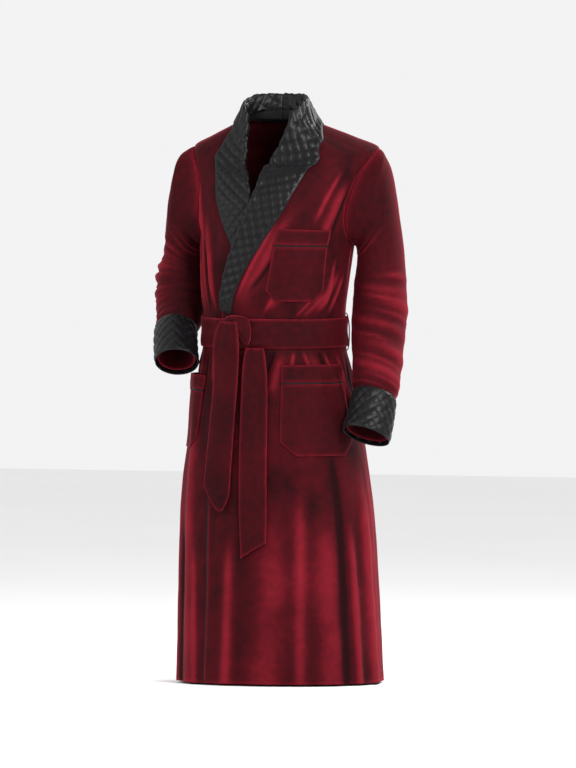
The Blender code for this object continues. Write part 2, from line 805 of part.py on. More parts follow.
def armhole_ring(side, lift):
    """Edge of the armhole on the panels, from the shoulder round by the front."""
    heights = armhole_heights()
    steps = len(heights) - 1
    sign = 1.0 if side == "left" else -1.0
    corners = []
    for step in range(steps, -1, -1):
        height = heights[step]
        angle = sign * front_side_edge(height)
        base = wrap_lift(angle, height) if side == "left" else 0.0
        corners.append(body_point(angle, height, base + lift))
    for step in range(1, steps):
        height = heights[step]
        corners.append(body_point(sign * back_side_edge(height), height, lift))
    ring = []
    for index, corner in enumerate(corners):
        following = corners[(index + 1) % len(corners)]
        ring.append(corner)
        ring.append((corner + following) / 2.0)
    return ring


def make_sleeve(side):
    """Velvet sleeve from the armhole to inside its cuff."""
    inner = [sleeve_ring(side, place, 0.0) for place in SLEEVE_PLACES[side]]
    outer = [sleeve_ring(side, place, VELVET) for place in SLEEVE_PLACES[side]]
    outer_seam = []
    inner_seam = []
    for column, point in enumerate(armhole_ring(side, VELVET)):
        away = outer[0][column] - point
        through = (outer[0][column] - inner[0][column]).normalized()
        beside = (away - through * away.dot(through)).normalized()
        outer_seam.append(point + beside * SLEEVE_SEAM_GAP)
        inner_seam.append(outer_seam[-1] - through * VELVET)
    outer.insert(0, outer_seam)
    inner.insert(0, inner_seam)
    return wall("sleeve_" + side, outer, inner, VELVET_COLOUR, closed=True)


def make_cuff(side):
    """Quilted cuff turned back over the sleeve's end."""
    last = LEFT_SLEEVE[-1][0] if side == "left" else RIGHT_SLEEVE[-1][0]
    start = CUFF_START[side]
    inner = []
    outer = []
    for row, place in enumerate(spaced(start, last, CUFF_ROWS)):
        lift = VELVET + CUFF_CLEARANCE + CUFF_FLARE * row / CUFF_ROWS
        inner.append(sleeve_ring(side, place, lift))
        line = []
        low = sleeve_ring(side, place, lift + SATIN)
        high = sleeve_ring(side, place, lift + SATIN + QUILT_RISE)
        for column in range(SLEEVE_COLUMNS):
            raised = (row + column) % 2 == 1 and 0 < row < CUFF_ROWS
            line.append(high[column] if raised else low[column])
        outer.append(line)
    return wall("cuff_" + side, outer, inner, SATIN_COLOUR, closed=True)


def pocket_point(which, share, drop, lift):
    """Point over a pocket: share runs from its front to its back edge, drop from top to bottom."""
    front, back, top, _, bottom, stand = POCKETS[which]
    angle = front + (back - front) * share
    height = top + (bottom - top) * drop
    base = wrap_lift(angle, height) if which != "right" else 0.0
    bulge = stand * (math.sin(math.pi * share) * (1.0 - ease(drop, 0.0, 1.0))) ** POCKET_BULGE_CURVE
    return body_point(angle, height, base + VELVET + POCKET_GAP + bulge + lift)


def make_pocket(which):
    """Patch pocket: bag with clipped corners, band along its mouth and piping between."""
    _, _, top, band_low, bottom, _ = POCKETS[which]
    height = top - bottom
    bag_name, band_name, piping_name = POCKET_NODES[which]
    piping_drop = (top - band_low) / height
    cord = PIPING_RADIUS / height
    bag_top = piping_drop + cord + SEAM_GAP / height
    band_end = piping_drop - cord - SEAM_GAP / height
    shares = spaced(0.0, 1.0, POCKET_COLUMNS)

    def lowest(share):
        """Bottom of the bag, higher at its two clipped corners."""
        corner = max(0.0, CORNER_CUT - share, share - (1.0 - CORNER_CUT)) / CORNER_CUT
        return 1.0 - CORNER_RISE * corner

    def sewn(share, row):
        """Lift of the under side: down on the front along the sewn edges."""
        on_edge = share in (0.0, 1.0) or row == 1.0
        return POCKET_SEAM_GAP[which] - POCKET_GAP if on_edge else 0.0

    inner = []
    outer = []
    for row in spaced(0.0, 1.0, POCKET_ROWS):
        drops = [bag_top + (lowest(share) - bag_top) * row for share in shares]
        inner.append([pocket_point(which, s, d, sewn(s, row)) for s, d in zip(shares, drops)])
        outer.append([pocket_point(which, s, d, POCKET_WALL) for s, d in zip(shares, drops)])
    wall(bag_name, outer, inner, VELVET_COLOUR)
    drops = spaced(0.0, band_end, 2)
    inner = [[pocket_point(which, share, drop, sewn(share, drop)) for share in shares] for drop in drops]
    outer = [[pocket_point(which, share, drop, BAND_WALL) for share in shares] for drop in drops]
    wall(band_name, outer, inner, VELVET_COLOUR)
    route = []
    for share in shares:
        point = pocket_point(which, share, piping_drop, PIPING_RADIUS)
        beyond = pocket_point(which, share, piping_drop, 2.0 * PIPING_RADIUS)
        route.append((point, beyond - point))
    tube(piping_name, route, PIPING_RADIUS, PIPING_COLOUR)


def belt_lift(angle, height):
    """Lift of the belt's inner side."""
    return over_lift(angle, height) + VELVET + OVERLAY_GAP


def make_belt_band():
    """Belt round the waist, one closed band, fuller along its middle."""
    heights = spaced(BELT_LOW, BELT_TOP, 2)
    inner = []
    outer = []
    for column in range(BELT_COLUMNS):
        angle = -180.0 + 360.0 * column / BELT_COLUMNS
        inner.append([body_point(angle, height, belt_lift(angle, height)) for height in heights])
        line = []
        for row, height in enumerate(heights):
            full = BELT_CROWN if row == 1 else 0.0
            line.append(body_point(angle, height, belt_lift(angle, height) + BELT_WALL + full))
        outer.append(line)
    return wall("belt_band", outer, inner, VELVET_COLOUR, ends_joined=True)


def make_belt_knot():
    """Knot over the band: a full lump of wrapped belt with two slanting turns."""
    left, right, top, low = KNOT
    inner = []
    outer = []
    for height in spaced(top, low, KNOT_STEPS):
        drop = (top - height) / (top - low)
        inner_line = []
        outer_line = []
        for angle in spaced(left, right, KNOT_STEPS):
            share = (angle - left) / (right - left)
            base = belt_lift(angle, max(min(height, BELT_TOP), BELT_LOW)) + BELT_WALL + KNOT_GAP
            dome = (math.sin(math.pi * share) * math.sin(math.pi * drop)) ** KNOT_FULLNESS
            turns = KNOT_TURNS * math.cos(4.0 * math.pi * (share - 0.55 * drop))
            inner_line.append(body_point(angle, height, base))
            outer_line.append(body_point(angle, height, base + BELT_WALL + (KNOT_RISE + turns) * dome))
        inner.append(inner_line)
        outer.append(outer_line)
    return wall("belt_knot", outer, inner, VELVET_COLOUR)


def make_belt_end(side):
    """Hanging end of the belt with a slanted tip."""
    rows = BELT_END_RIGHT if side == "right" else BELT_END_LEFT
    top = rows[0][0]
    table = [(-row[0], row[1], row[2], row[3]) for row in rows]
    shares = spaced(0.0, 1.0, BELT_END_COLUMNS)
    inner = []
    outer = []
    for drop in spaced(0.0, 1.0, BELT_END_ROWS):
        inner_line = []
        outer_line = []
        for share in shares:
            tip = smooth_row(BELT_TIPS[side], share)[0]
            height = top + (tip - top) * drop
            left, right, stand = smooth_row(table, -height)
            angle = left + (right - left) * share
            crown = BELT_END_CROWN * math.sin(math.pi * share)
            base = wrap_lift(angle, height) + VELVET + stand
            inner_line.append(body_point(angle, height, base + crown))
            outer_line.append(body_point(angle, height, base + crown + BELT_WALL))
        inner.append(inner_line)
        outer.append(outer_line)
    return wall("belt_end_" + side, outer, inner, VELVET_COLOUR)


def make_belt_loop(side):
    """Narrow loop that stands off the belt at the side seam."""
    sign = 1.0 if side == "left" else -1.0
    top = BELT_TOP + LOOP_INSET
    low = BELT_LOW - LOOP_INSET
    inner = []
    outer = []
    for share in spaced(0.0, 1.0, LOOP_ROWS):
        height = top + (low - top) * share
        stand = LAYER_GAP + LOOP_STAND * math.sqrt(max(math.sin(math.pi * share), 0.0))
        inner_line = []
        outer_line = []
        for angle in (sign * (HIP_SEAM - LOOP_HALF_ANGLE), sign * (HIP_SEAM + LOOP_HALF_ANGLE)):
            inner_line.append(body_point(angle, height, VELVET + stand))
            outer_line.append(body_point(angle, height, VELVET + stand + LOOP_WALL))
        inner.append(inner_line)
        outer.append(outer_line)
    return wall("belt_loop_" + side, outer, inner, VELVET_COLOUR)


def make_front_piping():
    """Cord along the left front's edge, from under the belt to the hem."""
    route = []
    beside = PIPING_RADIUS + PIPING_GAP
    for height in spaced(BELT_LOW - PIPING_BELT_CLEARANCE, HEM + PIPING_HEM_CLEARANCE, PIPING_ROWS):
        angle = left_edge(height)
        lift = wrap_lift(angle, height) + VELVET / 2.0
        point = body_point(angle, height, lift)
        ahead = body_point(angle + 1.0, height, lift)
        away = (point - ahead).normalized()
        route.append((point + away * beside, form_normal(angle, height)))
    tube("front_piping", route, PIPING_RADIUS, PIPING_COLOUR)


def build():
    """Clear the file and make every piece."""
    for old in list(bpy.data.objects):
        bpy.data.objects.remove(old, do_unlink=True)
    collection = bpy.data.collections.new(OBJECT_NAME)
    bpy.context.scene.collection.children.link(collection)
    make_panels()
    make_collar("collar_left", LEFT_COLLAR, left_edge, wrap_lift, False)
    make_collar("collar_right", RIGHT_COLLAR, right_edge, no_lift, True)
    for side in ("left", "right"):
        make_sleeve(side)
        make_cuff(side)
        make_belt_end(side)
        make_belt_loop(side)
    for which in POCKETS:
        make_pocket(which)
    make_belt_band()
    make_belt_knot()
    make_front_piping()


build()
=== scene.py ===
"""Full-length smoking jacket in burgundy velvet with quilted satin collar and cuffs.

The cloth is made again, finer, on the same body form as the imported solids: a point
of a panel has an angle round the body, from the centre front and positive to the
wearer's left, and a height. Metres, +Z up, the garment faces -Y.
"""

import logging
import math
from dataclasses import dataclass, field
from enum import Enum
from functools import lru_cache
from typing import Callable, Sequence

import bmesh
import bpy
from mathutils import Matrix, Vector, noise


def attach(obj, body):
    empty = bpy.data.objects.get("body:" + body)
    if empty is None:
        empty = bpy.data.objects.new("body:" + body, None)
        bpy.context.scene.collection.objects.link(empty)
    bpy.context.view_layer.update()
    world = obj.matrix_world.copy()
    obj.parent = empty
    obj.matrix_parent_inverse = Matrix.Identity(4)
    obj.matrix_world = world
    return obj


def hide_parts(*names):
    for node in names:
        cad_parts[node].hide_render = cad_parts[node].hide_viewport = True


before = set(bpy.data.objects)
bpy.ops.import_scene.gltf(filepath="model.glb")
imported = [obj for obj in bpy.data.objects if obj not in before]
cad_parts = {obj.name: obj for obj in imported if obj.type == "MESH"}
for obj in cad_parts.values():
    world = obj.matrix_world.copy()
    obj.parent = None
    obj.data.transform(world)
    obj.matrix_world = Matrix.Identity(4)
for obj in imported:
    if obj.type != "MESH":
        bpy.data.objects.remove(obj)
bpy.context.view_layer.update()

logging.basicConfig(level=logging.INFO, format="%(message)s")
LOG = logging.getLogger("jacket")

# Cloth and quilting, in metres
VELVET = 0.0020
SATIN = 0.0022
QUILT_RISE = 0.0030
QUILT_SIDE = 0.0200
QUILT_DIAGONAL = QUILT_SIDE * math.sqrt(2.0)
QUILT_ROUNDING = 0.42
QUILT_MARGIN = (0.001, 0.006)
SQUARE_AT = 0.46
# reach of the painted highlight along a piece's open edges
EDGE_HIGHLIGHT_REACH = 0.0045
WELD = 0.00002
ROUND_OFF = 0.000001
SHORTEST = 1e-6
SHORTEST_STEP = 1e-9
LINE_STEPS = 12

# Body form and seams: heights in metres, angles in degrees
ROUNDNESS = 0.93
HEM = -1.307
NECKLINE = 0.014
NORMAL_RISE = 0.016
NORMAL_TURN = 1.0
HIP = -0.600
HIP_SEAM = 98.0
ARMHOLE_SEAM = 90.0
ARMHOLE_LOW = -0.270
ARMHOLE_TOP = -0.055
ARMHOLE_MIDDLE = (ARMHOLE_LOW + ARMHOLE_TOP) / 2.0
ARMHOLE_HALF = (ARMHOLE_TOP - ARMHOLE_LOW) / 2.0
ARMHOLE_INSET = 28.0
SEAM_HALF_ANGLE = 0.08
PANEL_BREAK = -0.560
PANEL_STEPS = (78, 52, 36, 18)

# Wrap of the left front over the right one
WRAP_HIGH = 0.0176
WRAP_WAIST = 0.0092
WRAP_LOW = 0.0032
WRAP_RISE = (-0.440, -0.395)
WRAP_SETTLE = (-0.640, -0.530)
WRAP_FADE = (28.0, 66.0)
WRAP_EDGE_STEP = (-44.0, -31.0)

# Folds, wrinkles and the unevenness of the pile
FOLD_REACH = 2.6
FOLD_FADE = 0.3
WRINKLE_SLANT = 0.0035
PILE_ROUND = 3.2
PILE_ALONG = 9.0
PILE_WAVES = ((0.0011, 1.0), (0.0005, 2.7))
SLEEVE_WAVE = 0.0009
SLEEVE_WAVE_ALONG = 1.3
# Painted highlight on ridges and painted shade in troughs: weight of the fine relief, ridge height for a
# full highlight and deepest shade; then the sleeves' ridge height for a full highlight, the painted
# highlight down their outer line and its width
FINE_RELIEF_LIGHT_SHARE = 1.6
FULL_HIGHLIGHT_RIDGE = 0.0070
DEEPEST_PAINTED_SHADE = -0.8
SLEEVE_FULL_HIGHLIGHT_RIDGE = 0.0075
SLEEVE_RIM_HIGHLIGHT = 0.35
SLEEVE_RIM_ANGLE = 38.0

# Columns and rows of the pieces' grids
PANEL_COLUMNS = {"front_left": 104, "front_right": 96, "back": 108}
COLLAR_COLUMNS = 64
COLLAR_ROWS = 280
SLEEVE_GRID = (84, 116)
SLEEVE_SEAM_ROWS = 9
CUFF_GRID = (132, 48)
POCKET_COLUMNS = 40
POCKET_ROWS = 34
BAND_ROWS = 10
BELT_GRID = (220, 20)
KNOT_GRID = (44, 40)
END_GRID = (22, 110)
LOOP_GRID = (6, 40)

# Collar
COLLAR_QUILT_FROM = 0.20
COLLAR_LIFT = 0.0034
COLLAR_FINE_SHARE = 0.5
COLLAR_SHARES = (0.12, 0.30, 0.48, 0.66, 0.83, 1.0)
COLLAR_HALF_SEAM = 0.0002
STRIP_LIFT = 0.0040
STRIP_WIDTH = 0.012
STRIP_LARGEST_SHARE = 0.35
FOLD_CLEARANCE = 0.0026
FALL_CURVE = 1.35

# Sleeves and cuffs
SLEEVE_END = {"left": 12.8, "right": 10.8}
SLEEVE_REACH = 0.8
SEAM_SEAT = 0.0006
SEAM_SHORTEST = 0.001
SEAM_FULLNESS = 0.0022
CUFF_START = {"left": 10.85, "right": 8.85}
CUFF_END = {"left": 13.0, "right": 11.0}
CUFF_CLEARANCE = 0.0017
CUFF_FLARE = 0.0030
CUFF_QUILT_RISE = 0.0026
CUFF_DIAMONDS = 12

# Pockets: a wall is the height of the outer side above its seat, a shell the cloth's thickness
POCKET_SEAT = 0.0012
POCKET_WALL = 0.0018
POCKET_SHELL = 0.0015
POCKET_FINE_SHARE = 0.7
MOUTH_ROUNDING = 0.8
BAND_WALL = 0.0024
BAND_SHELL = 0.0019
CORNER_CUT = 0.18
CORNER_RISE = 0.155
POCKET_LEAN = {"breast": 7.0, "left": 3.0, "right": 0.0}
PIPING_RADIUS = 0.0017
PIPING_GAP = 0.0003
PIPING_INSET = (0.004, 0.001)
PIPING_LEVEL = 0.6
PIPING_STAND = 0.0004
PIPING_STEPS = 240

# Belt
BELT_TOP = -0.449
BELT_LOW = -0.519
BELT_SEAT = 0.0014
BELT_WALL = 0.0030
BELT_SHELL = 0.0026
KNOT = (-26.5, -3.0, -0.441, -0.517)
KNOT_RISE = 0.019
KNOT_SEAT = 0.0024
KNOT_SHELL = 0.0024
LOOP_OVERLAP = 0.010
LOOP_SEAT = 0.0004
LOOP_ARCH = 0.0092
LOOP_WALL = 0.0018
LOOP_SHELL = 0.0016
LOOP_ANGLE = 3.2

# Body rings: height, half width, front depth, back depth, shift X, shift Y, front drop, back drop
BODY_RINGS = (
    (-1.307, 0.238, 0.180, 0.185, 0.000, -0.007, 0.000, 0.000),
    (-1.100, 0.231, 0.173, 0.178, -0.002, -0.009, 0.000, 0.000),
    (-0.900, 0.222, 0.166, 0.170, -0.005, -0.011, 0.000, 0.000),
    (-0.800, 0.211, 0.160, 0.166, -0.007, -0.013, 0.000, 0.000),
    (-0.680, 0.194, 0.151, 0.158, -0.008, -0.015, 0.000, 0.000),
    (-0.580, 0.177, 0.139, 0.148, -0.009, -0.017, 0.000, 0.000),
    (-0.520, 0.168, 0.132, 0.138, -0.010, -0.019, 0.000, 0.000),
    (-0.485, 0.166, 0.130, 0.134, -0.010, -0.020, 0.000, 0.000),
    (-0.450, 0.166, 0.131, 0.134, -0.010, -0.019, 0.000, 0.000),
    (-0.370, 0.172, 0.138, 0.138, -0.009, -0.012, 0.000, 0.000),
    (-0.270, 0.180, 0.145, 0.142, -0.006, 0.000, 0.000, 0.000),
    (-0.190, 0.195, 0.143, 0.140, -0.002, 0.012, 0.000, 0.000),
    (-0.120, 0.210, 0.130, 0.130, 0.003, 0.025, 0.006, 0.000),
    (-0.055, 0.222, 0.111, 0.095, 0.005, 0.035, 0.040, 0.010),
    (-0.028, 0.170, 0.088, 0.080, 0.000, 0.022, 0.032, 0.008),
    (-0.004, 0.115, 0.068, 0.068, -0.005, 0.004, 0.026, 0.004),
    (0.014, 0.074, 0.054, 0.060, -0.010, -0.010, 0.022, 0.000),
)

# Opening edge of the wearer's left front: height, angle
LEFT_EDGE = (
    (-1.307, -33.5),
    (-1.050, -32.0),
    (-0.850, -32.0),
    (-0.640, -35.5),
    (-0.520, -33.5),
    (-0.432, -29.3),
    (-0.354, -23.8),
    (-0.293, -18.0),
    (-0.190, -6.8),
    (-0.153, -4.3),
    (-0.048, 0.5),
    (-0.015, 11.0),
    (0.004, 26.0),
    (0.014, 42.0),
)

# Opening edge of the wearer's right front, which lies under the left: height, angle
RIGHT_EDGE = (
    (-1.307, 20.0),
    (-0.600, 20.0),
    (-0.440, 19.0),
    (-0.360, 13.0),
    (-0.300, 5.0),
    (-0.250, -1.0),
    (-0.188, -7.9),
    (-0.129, -13.0),
    (-0.036, -20.0),
    (-0.010, -28.0),
    (0.004, -37.0),
    (0.014, -52.0),
)

# Collar stations: place along, fold angle, fold height, edge angle, edge height, rise
LEFT_COLLAR = (
    (0.00, 180.0, 0.014, 180.0, -0.034, 0.050),
    (0.06, 140.0, 0.014, 142.0, -0.012, 0.050),
    (0.11, 104.0, 0.014, 106.0, 0.001, 0.046),
    (0.16, 74.0, 0.014, 78.0, -0.003, 0.038),
    (0.21, 52.0, 0.014, 59.5, -0.011, 0.027),
    (0.25, 38.0, 0.011, 46.5, -0.022, 0.016),
    (0.29, 10.5, -0.016, 31.6, -0.040, 0.007),
    (0.34, 4.0, -0.032, 25.4, -0.076, 0.002),
    (0.40, 0.5, -0.060, 21.0, -0.124, 0.000),
    (0.49, -4.3, -0.150, 14.8, -0.188, 0.000),
    (0.61, -12.5, -0.240, 2.6, -0.272, 0.000),
    (0.73, -20.0, -0.312, -6.5, -0.328, 0.000),
    (0.86, -26.0, -0.382, -15.6, -0.392, 0.000),
    (1.00, -29.3, -0.432, -20.4, -0.438, 0.000),
)

RIGHT_COLLAR = (
    (0.00, -180.0, 0.014, -180.0, -0.034, 0.050),
    (0.06, -140.0, 0.014, -142.0, -0.016, 0.049),
    (0.12, -104.0, 0.014, -106.0, -0.003, 0.040),
    (0.18, -76.0, 0.014, -79.0, 0.000, 0.030),
    (0.24, -52.0, 0.014, -61.0, -0.005, 0.019),
    (0.29, -40.0, 0.006, -51.0, -0.019, 0.011),
    (0.35, -24.0, -0.020, -41.8, -0.046, 0.003),
    (0.43, -16.0, -0.062, -39.8, -0.088, 0.000),
    (0.53, -13.6, -0.120, -38.8, -0.148, 0.000),
    (0.63, -9.4, -0.175, -33.5, -0.207, 0.000),
    (0.72, -4.5, -0.220, -26.8, -0.252, 0.000),
    (0.82, 1.5, -0.270, -17.0, -0.305, 0.000),
    (0.91, 7.6, -0.318, -7.0, -0.348, 0.001),
    (1.00, 14.5, -0.370, 5.0, -0.385, 0.001),
)

# Sleeve stations: place, outer X Y Z, inner X Y Z, half depth
LEFT_SLEEVE = (
    (1.0, 0.241, 0.038, -0.066, 0.183, 0.006, -0.281, 0.076),
    (2.0, 0.260, 0.038, -0.105, 0.184, 0.012, -0.293, 0.074),
    (3.0, 0.272, 0.038, -0.165, 0.183, 0.018, -0.308, 0.071),
    (4.0, 0.281, 0.037, -0.235, 0.181, 0.024, -0.327, 0.068),
    (5.0, 0.289, 0.036, -0.305, 0.178, 0.027, -0.352, 0.066),
    (6.0, 0.294, 0.033, -0.378, 0.175, 0.027, -0.387, 0.066),
    (7.0, 0.2965, 0.025, -0.442, 0.173, 0.022, -0.442, 0.065),
    (8.0, 0.297, 0.008, -0.505, 0.177, 0.000, -0.502, 0.063),
    (9.0, 0.297, -0.017, -0.566, 0.186, -0.022, -0.556, 0.060),
    (10.0, 0.297, -0.040, -0.616, 0.191, -0.044, -0.604, 0.056),
    (11.0, 0.293, -0.056, -0.645, 0.201, -0.062, -0.630, 0.046),
    (12.0, 0.292, -0.080, -0.690, 0.199, -0.086, -0.672, 0.043),
    (13.0, 0.288, -0.102, -0.733, 0.194, -0.108, -0.712, 0.044),
)

RIGHT_SLEEVE = (
    (1.0, -0.234, 0.038, -0.066, -0.195, 0.008, -0.281, 0.076),
    (2.0, -0.245, 0.038, -0.104, -0.196, 0.012, -0.293, 0.074),
    (3.0, -0.257, 0.041, -0.160, -0.197, 0.018, -0.308, 0.071),
    (4.0, -0.274, 0.053, -0.235, -0.196, 0.025, -0.327, 0.068),
    (5.0, -0.288, 0.058, -0.310, -0.194, 0.030, -0.352, 0.065),
    (6.0, -0.308, 0.058, -0.378, -0.193, 0.024, -0.385, 0.061),
    (7.0, -0.304, 0.038, -0.432, -0.194, 0.008, -0.420, 0.056),
    (8.0, -0.294, 0.000, -0.475, -0.199, -0.016, -0.450, 0.050),
    (9.0, -0.288, -0.034, -0.500, -0.204, -0.044, -0.474, 0.042),
    (10.0, -0.275, -0.068, -0.535, -0.194, -0.090, -0.505, 0.041),
    (11.0, -0.259, -0.100, -0.572, -0.183, -0.130, -0.538, 0.041),
)

# Folds of the body: top angle, top height, low angle, low height, half width, depth
BODY_FOLDS = (
    (-52.0, -0.190, -43.0, -0.430, 3.6, 0.0065),
    (-62.0, -0.160, -52.0, -0.440, 3.8, 0.0075),
    (-72.0, -0.230, -62.0, -0.445, 3.6, 0.0060),
    (-58.0, -0.540, -50.0, -1.307, 6.0, 0.0060),
    (-80.0, -0.640, -76.0, -1.307, 7.0, 0.0070),
    (24.0, -0.170, -12.0, -0.430, 4.5, 0.0055),
    (34.0, -0.290, 6.0, -0.445, 4.2, 0.0060),
    (56.0, -0.110, 44.0, -0.300, 5.0, 0.0070),
    (72.0, -0.330, 48.0, -0.445, 4.5, 0.0060),
    (58.0, -0.380, 36.0, -0.447, 3.6, 0.0040),
    (18.0, -0.523, 8.0, -0.640, 4.2, 0.0050),
    (42.0, -0.523, 50.0, -0.640, 4.2, 0.0045),
    (64.0, -0.523, 74.0, -0.760, 4.6, 0.0060),
    (78.0, -0.780, 84.0, -1.307, 7.0, 0.0085),
    (40.0, -0.860, 44.0, -1.307, 9.0, 0.0050),
    (8.0, -0.900, 4.0, -1.307, 9.0, 0.0040),
    (118.0, -0.540, 112.0, -1.307, 7.0, 0.0080),
    (150.0, -0.530, 146.0, -1.307, 8.0, 0.0070),
    (176.0, -0.545, 180.0, -1.307, 8.0, 0.0050),
    (212.0, -0.530, 215.0, -1.307, 8.0, 0.0075),
    (246.0, -0.540, 250.0, -1.307, 7.0, 0.0065),
    (128.0, -0.200, 140.0, -0.440, 5.0, 0.0065),
    (160.0, -0.250, 164.0, -0.442, 5.0, 0.0050),
    (200.0, -0.230, 196.0, -0.442, 5.0, 0.0055),
    (232.0, -0.190, 220.0, -0.440, 5.0, 0.0065),
)

# Sleeve wrinkles: side, place, angle round, half length, half angle, height
SLEEVE_WRINKLES = (
    ("right", 5.45, 20.0, 0.17, 64.0, 0.0100),
    ("right", 6.05, 350.0, 0.17, 66.0, 0.0095),
    ("right", 6.75, 10.0, 0.18, 64.0, 0.0085),
    ("right", 7.50, 0.0, 0.20, 70.0, 0.0065),
    ("right", 4.70, 60.0, 0.22, 50.0, 0.0045),
    ("left", 6.10, 60.0, 0.22, 60.0, 0.0045),
    ("left", 6.75, 20.0, 0.22, 60.0, 0.0050),
    ("left", 7.60, 70.0, 0.20, 65.0, 0.0050),
    ("left", 8.60, 40.0, 0.22, 70.0, 0.0055),
    ("left", 9.50, 60.0, 0.24, 80.0, 0.0060),
    ("left", 5.20, 250.0, 0.24, 60.0, 0.0045),
    ("left", 7.10, 240.0, 0.22, 60.0, 0.0045),
    ("right", 6.30, 200.0, 0.20, 50.0, -0.0020),
)

# Patch pockets: front angle, back angle, top, band low, bottom, stand-off at the mouth
POCKETS = {
    "breast": (12.0, 52.0, -0.240, -0.278, -0.407, 0.003),
    "left": (17.0, 75.0, -0.558, -0.601, -0.771, 0.004),
    "right": (-98.0, -50.0, -0.586, -0.622, -0.757, 0.014),
}
POCKET_NODES = {
    "breast": ("breast_pocket", "breast_band", "breast_piping"),
    "left": ("pocket_left", "band_left", "piping_left"),
    "right": ("pocket_right", "band_right", "piping_right"),
}

# Belt ends: height, left angle, right angle, stand-off
BELT_END_RIGHT = (
    (-0.455, -27.6, -8.5, 0.0248),
    (-0.490, -29.5, -9.0, 0.0268),
    (-0.520, -31.0, -9.6, 0.0225),
    (-0.560, -32.3, -11.2, 0.0140),
    (-0.640, -33.0, -12.8, 0.0100),
    (-0.720, -32.6, -13.3, 0.0095),
    (-0.903, -35.0, -15.8, 0.0095),
)
BELT_END_LEFT = (
    (-0.5176, -8.6, 8.0, 0.0100),
    (-0.600, -9.4, 7.4, 0.0066),
    (-0.720, -9.7, 6.7, 0.0050),
    (-0.850, -9.2, 6.0, 0.0050),
    (-1.012, -8.2, 5.0, 0.0050),
)
# Lowest height of a belt end across its width: share of the width, height
BELT_TIPS = {
    "right": ((0.0, -0.844), (0.75, -0.903), (1.0, -0.868)),
    "left": ((0.0, -1.012), (1.0, -0.974)),
}


class Side(Enum):
    """Wearer's side."""

    LEFT = "left"
    RIGHT = "right"


class Cloth(Enum):
    """Cloth that a piece is made of, which sets its finish."""

    VELVET = "velvet"
    SATIN = "satin"
    PIPING = "piping"


@dataclass(frozen=True)
class Crease:
    """Soft ridge, or trough if its depth is negative, drawn on the body from one point to another."""

    top_angle: float
    top: float
    low_angle: float
    low: float
    half_width: float
    depth: float

    def height_at(self, angle: float, height: float) -> float:
        """How far the crease stands out at a point.

        Args:
            angle: degrees round the body from the centre front.
            height: height on the body form.

        Returns:
            Metres out of the form, 0 away from the crease.
        """
        if height > self.top or height < self.low:
            return 0.0
        share = (self.top - height) / (self.top - self.low)
        middle = self.top_angle + (self.low_angle - self.top_angle) * share
        away = (angle - middle + 180.0) % 360.0 - 180.0
        if abs(away) > FOLD_REACH * self.half_width:
            return 0.0
        fade = ease(share, 0.0, FOLD_FADE)
        if self.low > HEM:
            fade *= 1.0 - ease(share, 1.0 - FOLD_FADE, 1.0)
        return self.depth * fade * math.exp(-((away / self.half_width) ** 2))


